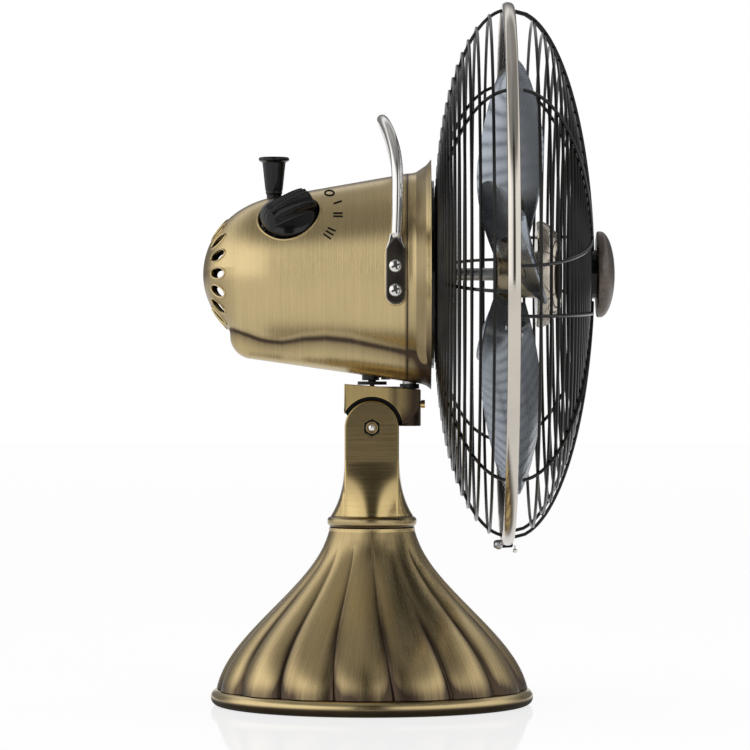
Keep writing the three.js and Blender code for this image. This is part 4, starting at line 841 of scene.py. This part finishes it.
def makeDialMarks():
    middle, size = dialMarks["ring"]
    paths = [(linspace(*stroke, 6), False) for stroke in dialMarks["strokes"]]
    paths.append((array(middle) + circle(1, 32) * size, True))
    grids = [wireGrid(onHousing(path), dialMarks["width"], knobOut, 6, closed) for path, closed in paths]
    settle(meshFrom("dialMarks", *grids), markBlack, "head", "black_plastic")


makeDialMarks()
print("dial marks made")


# Carry handle: a rod that rises from two flat plates and leans back over the housing

screwNodes = [name for name in frame["nodes"] if name.startswith("handle_screw")]
handleSizes = {"rod": 3.65, "plateHalf": 6.0, "plateLow": -20.4, "plateThick": 2.6, "side": 63.6, "reach": 15.3,
               "screws": (3.6, -11.5), "screwHead": 4.2, "padHalf": 7.2, "padLow": -21.4, "padHigh": 17}
handlePath = [[15.3, 1.0, 20.8], [15.4, 1.0, 21.6], [15.9, 1.0, 25], [16.4, 1.0, 42], [16.5, 0.97, 56],
              [15.5, 0.86, 72], [12.1, 0.62, 86], [8.5, 0.33, 95], [6.5, 0.0, 98.6]]


# a crowned screw head with a cross recess cut into it
def makePanScrew(name, centre, sign, radius, height, metal=chrome):
    t = quarter(10)
    crown = pack(radius * cos(t) ** 0.8, height * sin(t))
    profile = join([[0, -6.0], [1.8, -6.0], [1.8, 0.0], [radius, 0.0]], crown[1:]) * [1, sign]
    profile[-1, 0] = 0
    head = turned(name, profile, "y", centre, 40)
    ends = sorted([centre[1] + sign * height * 0.35, centre[1] + sign * (height + 1)])
    for arm in ((radius * 0.62, radius * 0.15), (radius * 0.15, radius * 0.62)):
        outline = array([[-1, -1], [1, -1], [1, 1], [-1, 1]]) * arm @ [[0.92, 0.39], [-0.39, 0.92]]
        cutAway(head, slab("crossCut", outline, "y", *ends, (centre[0], 0, centre[2]), round=0))
    settle(head, metal, "head", "chrome")
    return head


# the foot of a plate or its backing is half round, its shoulders narrow towards the rod
def makeHandle():
    size = handleSizes
    side, face, wide, rod = size["side"], size["side"] + size["plateThick"], size["plateHalf"], size["rod"]
    half = array(handlePath) * [1, -(side + face) / 2, 1] + hub
    path = smoothPath(join(half, half[-2::-1] * [1, -1, 1]), 14)
    radius = rod * sqrt(clamp((path[:, 2] - path[:, 2].min()) / 3.2 + 0.15))
    settle(meshFrom("handleRod", wireGrid(path, radius, (1, 0, 0), 20)), chrome, "head", "chrome", "carry_handle")
    turn = linspace(pi, tau, 24)
    heel, foot = pack(cos(turn), sin(turn)), [0, size["plateLow"] + wide]
    right = array([[wide, 8], [wide, 12], [wide * 0.97, 14.2], [wide * 0.72, 17.2], [wide * 0.3, 20.2], [0, 21.6]])
    plate = join(wide * heel + foot, right, right[-2::-1] * [-1, 1])
    back = wide + 0.25
    right = array([[back, 8], [back, 13], [back * 0.93, 15.5], [back * 0.7, 19], [rod, 23], [rod * 0.6, 25]])
    backing = join(back * heel + foot, right, right[::-1] * [-1, 1])
    turn = linspace(0, pi, 22)
    arch = size["padHalf"] * pack(cos(turn), sin(turn))
    pad = join(arch + [0, size["padHigh"] - size["padHalf"]], [0, size["padLow"] + size["padHalf"]] - arch)
    for sign in (-1, 1):
        for name, outline, near, far, round, material, slot in (
                ("handlePlate", plate, side, face, 0.7, plateMetal, "chrome"),
                ("handleBack", backing, side, side + 1.7, 0.6, chrome, "chrome"),
                ("handlePad", pad, 56, side - 0.4, 0.8, housingBrass, "brass")):
            settle(slab(f"{name}{sign + 1}", outline, "y", *sorted([near * sign, far * sign]),
                        (size["reach"], 0, axis), round=round), material, "head", slot)
        for k, height in enumerate(size["screws"]):
            place = (size["reach"], face * sign, axis + height)
            head = makePanScrew(f"handleScrewHead{sign + 1}{k}", place, sign, size["screwHead"], 2.0)
            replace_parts(head, min(screwNodes, key=lambda name: abs(middleOf(name) - place).sum()))


makeHandle()
print("handle made")


# Grille: concentric wires on two domes, with spokes, held by a half round band

guardSizes = {"pitch": 8.0, "wire": 1.0, "rimWire": 1.4, "rimRadius": 168.4, "rearCentre": 45, "rearInner": 56,
              "bandPlane": 86.3, "frontDepth": 51, "capRadius": 27.5, "frontInner": 19, "turn": radians(5),
              "bandRadius": 173.5, "bandWidth": 8.0, "spokeWire": 1.1, "spokeAside": 15, "bendReach": 34,
              "bendAside": 22.7, "plateGap": 1.05, "rimGap": 0.15, "rearLift": 1.7, "frontLift": 1.9}


# a quarter ellipse from the rim to a flat middle
def rearReach(radius):
    size = guardSizes
    centre = middleOf("guard_plate")[0] + size["plateGap"] + size["rimWire"]
    rim = size["bandPlane"] - size["rimWire"] - size["rimGap"]
    share = clamp((radius - size["rearCentre"]) / (size["rimRadius"] - size["rearCentre"]))
    return rim - (rim - centre) * sqrt(1 - share ** 2)


# a quarter ellipse from the rim to the axis
def frontReach(radius):
    size = guardSizes
    share = clamp(radius / size["rimRadius"])
    return size["bandPlane"] + size["rimWire"] + size["rimGap"] + size["frontDepth"] * sqrt(1 - share ** 2)


def ringGrid(reachAt, radius, wire):
    angle, section = linspace(0, tau, 113)[:, None], around(8)
    out = radius + wire * cos(section)
    return aboutAxis(reachAt(radius) + wire * sin(section), out, angle)


# a spoke along a radius: it follows the dome at a small offset
def spokeGrid(reachAt, turn, inner, lift):
    up = inner + (guardSizes["rimRadius"] - 0.3 - inner) * sin(quarter(26))
    path = turnX(pack(reachAt(up) + lift, 0, up), turn) + hub
    return wireGrid(path, guardSizes["spokeWire"], (0, cos(turn), sin(turn)))


# rings at an even pitch from a first radius down to a last, with thicker ones at the rim and inside
def ringGrids(reachAt, first, last, inner):
    size = guardSizes
    grids = [ringGrid(reachAt, radius, size["wire"]) for radius in np.arange(first, last, -size["pitch"])]
    return grids + [ringGrid(reachAt, radius, size["rimWire"]) for radius in (size["rimRadius"], inner)]


def makeRearGuard():
    size = guardSizes
    inner = size["rearInner"]
    grids = ringGrids(rearReach, size["rimRadius"] - size["pitch"] + 4.6, inner + 3, inner)
    grids += [spokeGrid(rearReach, turn, inner, size["rearLift"]) for turn in size["turn"] + around(8)]
    settle(meshFrom("rearWires", *grids), wireMetal, "head", "black_wire", "rear_guard")


# four bent wires each come in along one radius, turn a corner at the cap and go out along the next
def makeFrontGuard():
    size = guardSizes
    rim, inner, aside = size["rimRadius"], size["capRadius"], size["spokeAside"]
    grids = ringGrids(frontReach, rim - size["pitch"] + 1, inner + 3, size["frontInner"])
    edge, bend = sqrt(rim ** 2 - aside ** 2), size["bendReach"]
    straight = linspace(edge, bend, 22)
    inward = pack(straight, aside + (size["bendAside"] - aside) * (edge - straight) / (edge - bend))
    flat = smoothPath(join(inward, [[27, 23.2], [24.6, 24.6], [23.2, 27]], inward[::-1, ::-1]), 3)
    bent = pack(frontReach(minimum(hypot(*flat.T), rim)) + size["frontLift"], -flat[:, 1], flat[:, 0])
    for turn in size["turn"] + around(4):
        grids.append(wireGrid(turnX(bent, turn) + hub, size["spokeWire"], (1, 0, 0)))
        grids.append(spokeGrid(frontReach, turn + tau / 8, inner - 4, size["frontLift"]))
    settle(meshFrom("frontWires", *grids), wireMetal, "head", "black_wire", "front_guard")


# a swell by a power of the sine round the outside, flanges inside, and a slit at the clamp
def makeBand():
    size = guardSizes
    plane, half, floor = size["bandPlane"], size["bandWidth"] / 2, size["rimRadius"] + size["rimWire"] + 0.3
    low, high, turn = plane - half, plane + half, linspace(0, pi, 18)
    bulge = pack(floor + 0.4 + (size["bandRadius"] - floor - 0.4) * sin(turn) ** 0.8, plane - half * cos(turn))
    radius, along = join([[floor - 1.4, low + 0.2]], bulge, [
        [floor - 1.4, high - 0.2], [floor - 1.2, high - 1.4], [floor, high - 1.6], [floor, low + 1.6],
        [floor - 1.2, low + 1.4]]).T
    grid = aboutAxis(along, radius, radians(linspace(-179.4, 179.4, 220))[:, None])
    settle(meshFrom("grilleBand", capped(grid), sharp=50), bandMetal, "head", "chrome", "guard_band")


def makeClamp():
    x, _, z = middleOf("clamp_screw")
    end = boxOf("clamp_screw")[0][1] + 1.6
    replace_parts(makePanScrew("clampScrewHead", (x, end, z), -1, 2.9, 1.7, steel), "clamp_screw")
    lug = softCorners([[-3.2, -2.2], [9.2, -1.6], [9.2, 2.6], [-1, 3.2], [-3.2, 2.2]], 1.5)
    for sign in (-1, 1):
        plate = slab(f"clampLug{sign + 1}", lug, "y", *sorted([1.5 * sign, 2.9 * sign]), (x, 0, z), round=0.3)
        settle(plate, wireMetal, "head", "chrome")
    pin = softCorners([[0, -4.6], [1.5, -4.4], [1.5, -2.6], [0.7, -2.2], [0.7, 0], [0, 0]], 0.5, closed=False)
    settle(turned("bandPin", pin, "z", (91.5, -2.2, z - 0.4), 24), chrome, "head", "chrome")


# a quarter ellipse on a short rim
def makeCap():
    low, high = boxOf("front_cap")
    radius, turn = high[2] - axis, quarter(24)
    crown = pack(radius * cos(turn), low[0] + 2.2 + (high[0] - low[0] - 2.2) * sin(turn))
    profile = join([[0, low[0]], [radius - 0.6, low[0]], [radius, low[0] + 0.5]], crown)
    profile[-1, 0] = 0
    settle(turned("capDome", profile, "x", hub, 96, sharp=45), capMetal, "head", "dark_brass", "front_cap")


makeRearGuard()
makeFrontGuard()
makeBand()
makeClamp()
makeCap()
print("grille made")


# Blades: a cambered sheet with a round tip that twists from root to tip, on riveted arms

bladeSizes = {"plane": 88, "root": 20, "tip": 143, "chord": 88, "rootChord": 34, "thick": 1.2, "camber": 5,
              "rootPitch": 34, "tipPitch": 22, "turn": radians(12), "armStart": 10, "armEnd": 52, "hubLow": 78.7,
              "hubHigh": 104.7, "rivets": ((38, 0.378), (38, -0.378), (50, 0.0))}
bladeTurns = bladeSizes["turn"] + around(4)


# a point by its radius, its share of half the chord and its depth: the chord widens by a sine and
# closes by a root, the camber is a parabola and the pitch falls evenly
def bladePoint(radius, across, depth, turn):
    size = bladeSizes
    share = maximum((radius - size["root"]) / (size["tip"] - size["root"]), 0)
    widen = sin(minimum(share / 0.62, 1) * pi / 2)
    tip = maximum(share - 0.5, 0) / 0.5
    chord = (size["rootChord"] + (size["chord"] - size["rootChord"]) * widen) * sqrt(1 - 0.995 * tip ** 1.7)
    pitch = radians(size["rootPitch"] + (size["tipPitch"] - size["rootPitch"]) * share)
    along = across * chord / 2
    deep = size["camber"] * (1 - across ** 2) * widen + depth
    angle = (along * cos(pitch) + deep * sin(pitch)) / radius + turn
    return aboutAxis(size["plane"] - along * sin(pitch) + deep * cos(pitch), radius, angle)


# a sheet between two depths, closed at both ends
def sheetGrid(radius, across, low, high, turn):
    return capped(np.concatenate([bladePoint(radius, across, low, turn),
                                  bladePoint(radius, across[:, ::-1], high, turn)], axis=1))


def makeBlades():
    size = bladeSizes
    share = join(linspace(0, 0.85, 30), 1 - linspace(0.387, 0, 18)[1:] ** 2)[:, None]
    radius, across = size["root"] + (size["tip"] - size["root"]) * share, linspace(-1, 1, 33)[None]
    for i, turn in enumerate(bladeTurns):
        piece = meshFrom(f"bladeSheet{i + 1}", sheetGrid(radius, across, 0.0, size["thick"], turn), sharp=50)
        settle(piece, bladeMetal, "rotor", "blade_steel", f"blade_{i + 1}")


def makeSpider():
    size = bladeSizes
    share = linspace(0, 1, 24)[:, None]
    radius = size["armStart"] + (size["armEnd"] - size["armStart"]) * share
    tipRound = sqrt(clamp(1 - (clamp(share - 0.7) / 0.3) ** 2 * 0.96))
    across = linspace(-1, 1, 15) * 0.62 * (1 - share / 4) * tipRound
    low, high = size["hubLow"], size["hubHigh"]
    boss = softCorners([[4.4, low], [14, low], [15, low + 1.5], [15, high], [4.4, high]], 0.8)
    grids = [sheetGrid(radius, across, -1.9, -0.3, turn) for turn in bladeTurns]
    grids.append(turnedGrid(join(boss, boss[:1]), "x", hub, 64))
    settle(meshFrom("bladeSpider", *grids, sharp=45), armMetal, "rotor", "aged_brass", "blade_spider")
    t = quarter(6)
    dome = join([[0, -0.3], [2.4, -0.3]], pack(2.4 * cos(t), 1.3 * sin(t)))
    dome[-1, 0] = 0
    rivets = [turnedGrid(dome * [1, sign], "x", bladePoint(place, side, depth, turn), 16) for turn in bladeTurns
              for place, side in size["rivets"] for depth, sign in ((size["thick"], 1), (-0.2, -1))]
    settle(meshFrom("bladeRivets", *rivets), steel, "rotor", "steel")


# a flank that narrows by a power of its height
def makeSpinner():
    low, high = boxOf("spinner")[0][0], boxOf("spinner")[1][0]
    share = linspace(0, 1, 16)
    flank = pack(34 - 9 * share ** 2.2, low + 1 + (high - low - 3) * share)
    profile = join([[4.4, low], [33, low]], flank, [[23, high - 0.7], [20, high], [0, high], [0, high - 4],
                                                    [4.4, high - 4], [4.4, low]])
    settle(turned("spinnerCap", profile, "x", hub, 96, sharp=45), spinnerMetal, "rotor", "chrome", "spinner")


makeBlades()
makeSpider()
makeSpinner()
print("rotor made")


# CAD nodes that keep their shape take a finish from this list

keptFinishes = {
    "steel": steel, "black_plastic": blackGloss, "rubber": rubber, "cast_iron": castIron, "die_cast": dieCast,
    "copper": copper, "brass": neckBrass, "aged_brass": armMetal, "dark_brass": capMetal, "chrome": chrome,
    "blade_steel": bladeMetal, "black_wire": wireMetal,
}
slotOf = {entry["node"]: entry["material_slot"] for entry in frame["record"]["subparts"]}
for name, piece in frame["nodes"].items():
    piece.data.materials.clear()
    piece.data.materials.append(keptFinishes[slotOf[name]])


# Floor, light and camera. The floor glows for the camera, so it stays white, and mirrors the foot faintly. Mirror
# rays see it glow too, dim near the foot and bright further out: a painted lit floor with painted shade round the
# foot.

def makeFloor():
    mesh = bpy.data.meshes.new("floor")
    mesh.from_pydata([(-6, -3, 0), (6, -3, 0), (6, 9, 0), (-6, 9, 0)], [], [(0, 1, 2, 3)])
    material, tree, shader, place = newMaterial("paleFloor", 0.0, 0.5)
    fill(tree, shader, Base_Color=(0.9, 0.9, 0.9, 1), Roughness=0.06)
    rays = node(tree, "LightPath").outputs
    away = node(tree, "VectorMath", {"operation": "LENGTH"}, place).outputs["Value"]
    # mirror rays see the floor glow dimly near the foot and brightly further out: painted shade round the foot on a
    # painted lit floor
    level = mix(tree, rays["Is Camera Ray"], ramp(tree, away, 0.1, 0.17, 0.12, 0.86), 1.0, "FLOAT")
    glow = node(tree, "Emission", None, (1, 1, 1, 1), level)
    share = calc(tree, "MULTIPLY_ADD", rays["Is Camera Ray"], 0.78, rays["Is Glossy Ray"])
    both = node(tree, "MixShader", None, share, shader.outputs[0], glow.outputs[0])
    fill(tree, tree.nodes["Material Output"], both.outputs[0])
    mesh.materials.append(material)
    newObject("floor", mesh)


def makeLight(name, place, target, size, power):
    data = bpy.data.lights.new(name, "AREA")
    data.shape, data.size, data.size_y, data.energy = "RECTANGLE", size[0], size[1], power
    lamp = newObject(name, data)
    lamp.location, lamp.visible_glossy = place, False
    lamp.rotation_euler = (Vector(target) - Vector(place)).to_track_quat("-Z", "Y").to_euler()


# The world is white to the camera. Mirror rays see two softboxes with a dark gap between them where
# the camera stands, a dim room above and behind, and a small white backdrop straight behind.
def makeWorld():
    world = bpy.data.worlds.new("studio")
    bpy.context.scene.world = world
    world.use_nodes = True
    tree = world.node_tree
    x, y, z = node(tree, "SeparateXYZ", None, node(tree, "TexCoord").outputs["Generated"]).outputs
    bearing = calc(tree, "ARCTAN2", x, calc(tree, "MULTIPLY", y, -1.0))
    turn = calc(tree, "ABSOLUTE", bearing)
    level = calc(tree, "MAXIMUM", ramp(tree, turn, 0.16, 0.32, 0.06, 1.05), ramp(tree, z, 0.75, 0.95, 0.0, 0.9))
    rear = mix(tree, ramp(tree, turn, 1.85, 2.4), 1.0, ramp(tree, z, 0.3, 0.8, 0.16, 1.3), "FLOAT")
    for factor in (rear, ramp(tree, bearing, -0.9, -0.3, 1.3, 1.0), ramp(tree, z, 0.52, 0.76, 1.0, 0.24)):
        level = calc(tree, "MULTIPLY", level, factor)
    level = calc(tree, "MAXIMUM", level, ramp(tree, y, 0.975, 0.985))
    rays = node(tree, "LightPath").outputs
    seen = mix(tree, rays["Is Camera Ray"], grey(tree, level), (1, 1, 1, 1))
    sharp = calc(tree, "MAXIMUM", calc(tree, "MAXIMUM", rays["Is Camera Ray"], rays["Is Glossy Ray"]),
                 rays["Is Transmission Ray"])
    soft, clear = (node(tree, "Background", None, *given).outputs[0]
                   for given in (((1, 1, 1, 1), 0.6), (seen, 1.0)))
    both = node(tree, "MixShader", None, sharp, soft, clear)
    fill(tree, tree.nodes["World Output"], both.outputs[0])


def makeCamera():
    data = bpy.data.cameras.new("camera")
    data.sensor_width, data.lens = 36, photo["lens"]
    data.clip_start, data.clip_end = 0.05, 50
    data.shift_x = (photo["centreY"] - photo["centreX"]) / photo["width"]
    camera = newObject("camera", data)
    camera.location = (photo["cameraX"] * mm, -photo["distance"] * mm, photo["cameraZ"] * mm)
    camera.rotation_euler = (pi / 2, 0, 0)
    bpy.context.scene.camera = camera


makeFloor()
makeWorld()
makeLight("frontSoftbox", (-0.9, -1.9, 0.55), (0, 0, 0.28), (1.2, 0.9), 14)
makeLight("rightSoftbox", (1.3, -1.6, 0.75), (0, 0, 0.25), (0.7, 1.2), 9)
makeLight("topSoftbox", (0, 0.1, 1.6), (0, 0, 0.2), (1.4, 0.8), 9)
makeCamera()
bpy.context.scene.view_settings.view_transform = "Standard"
print("stage made")
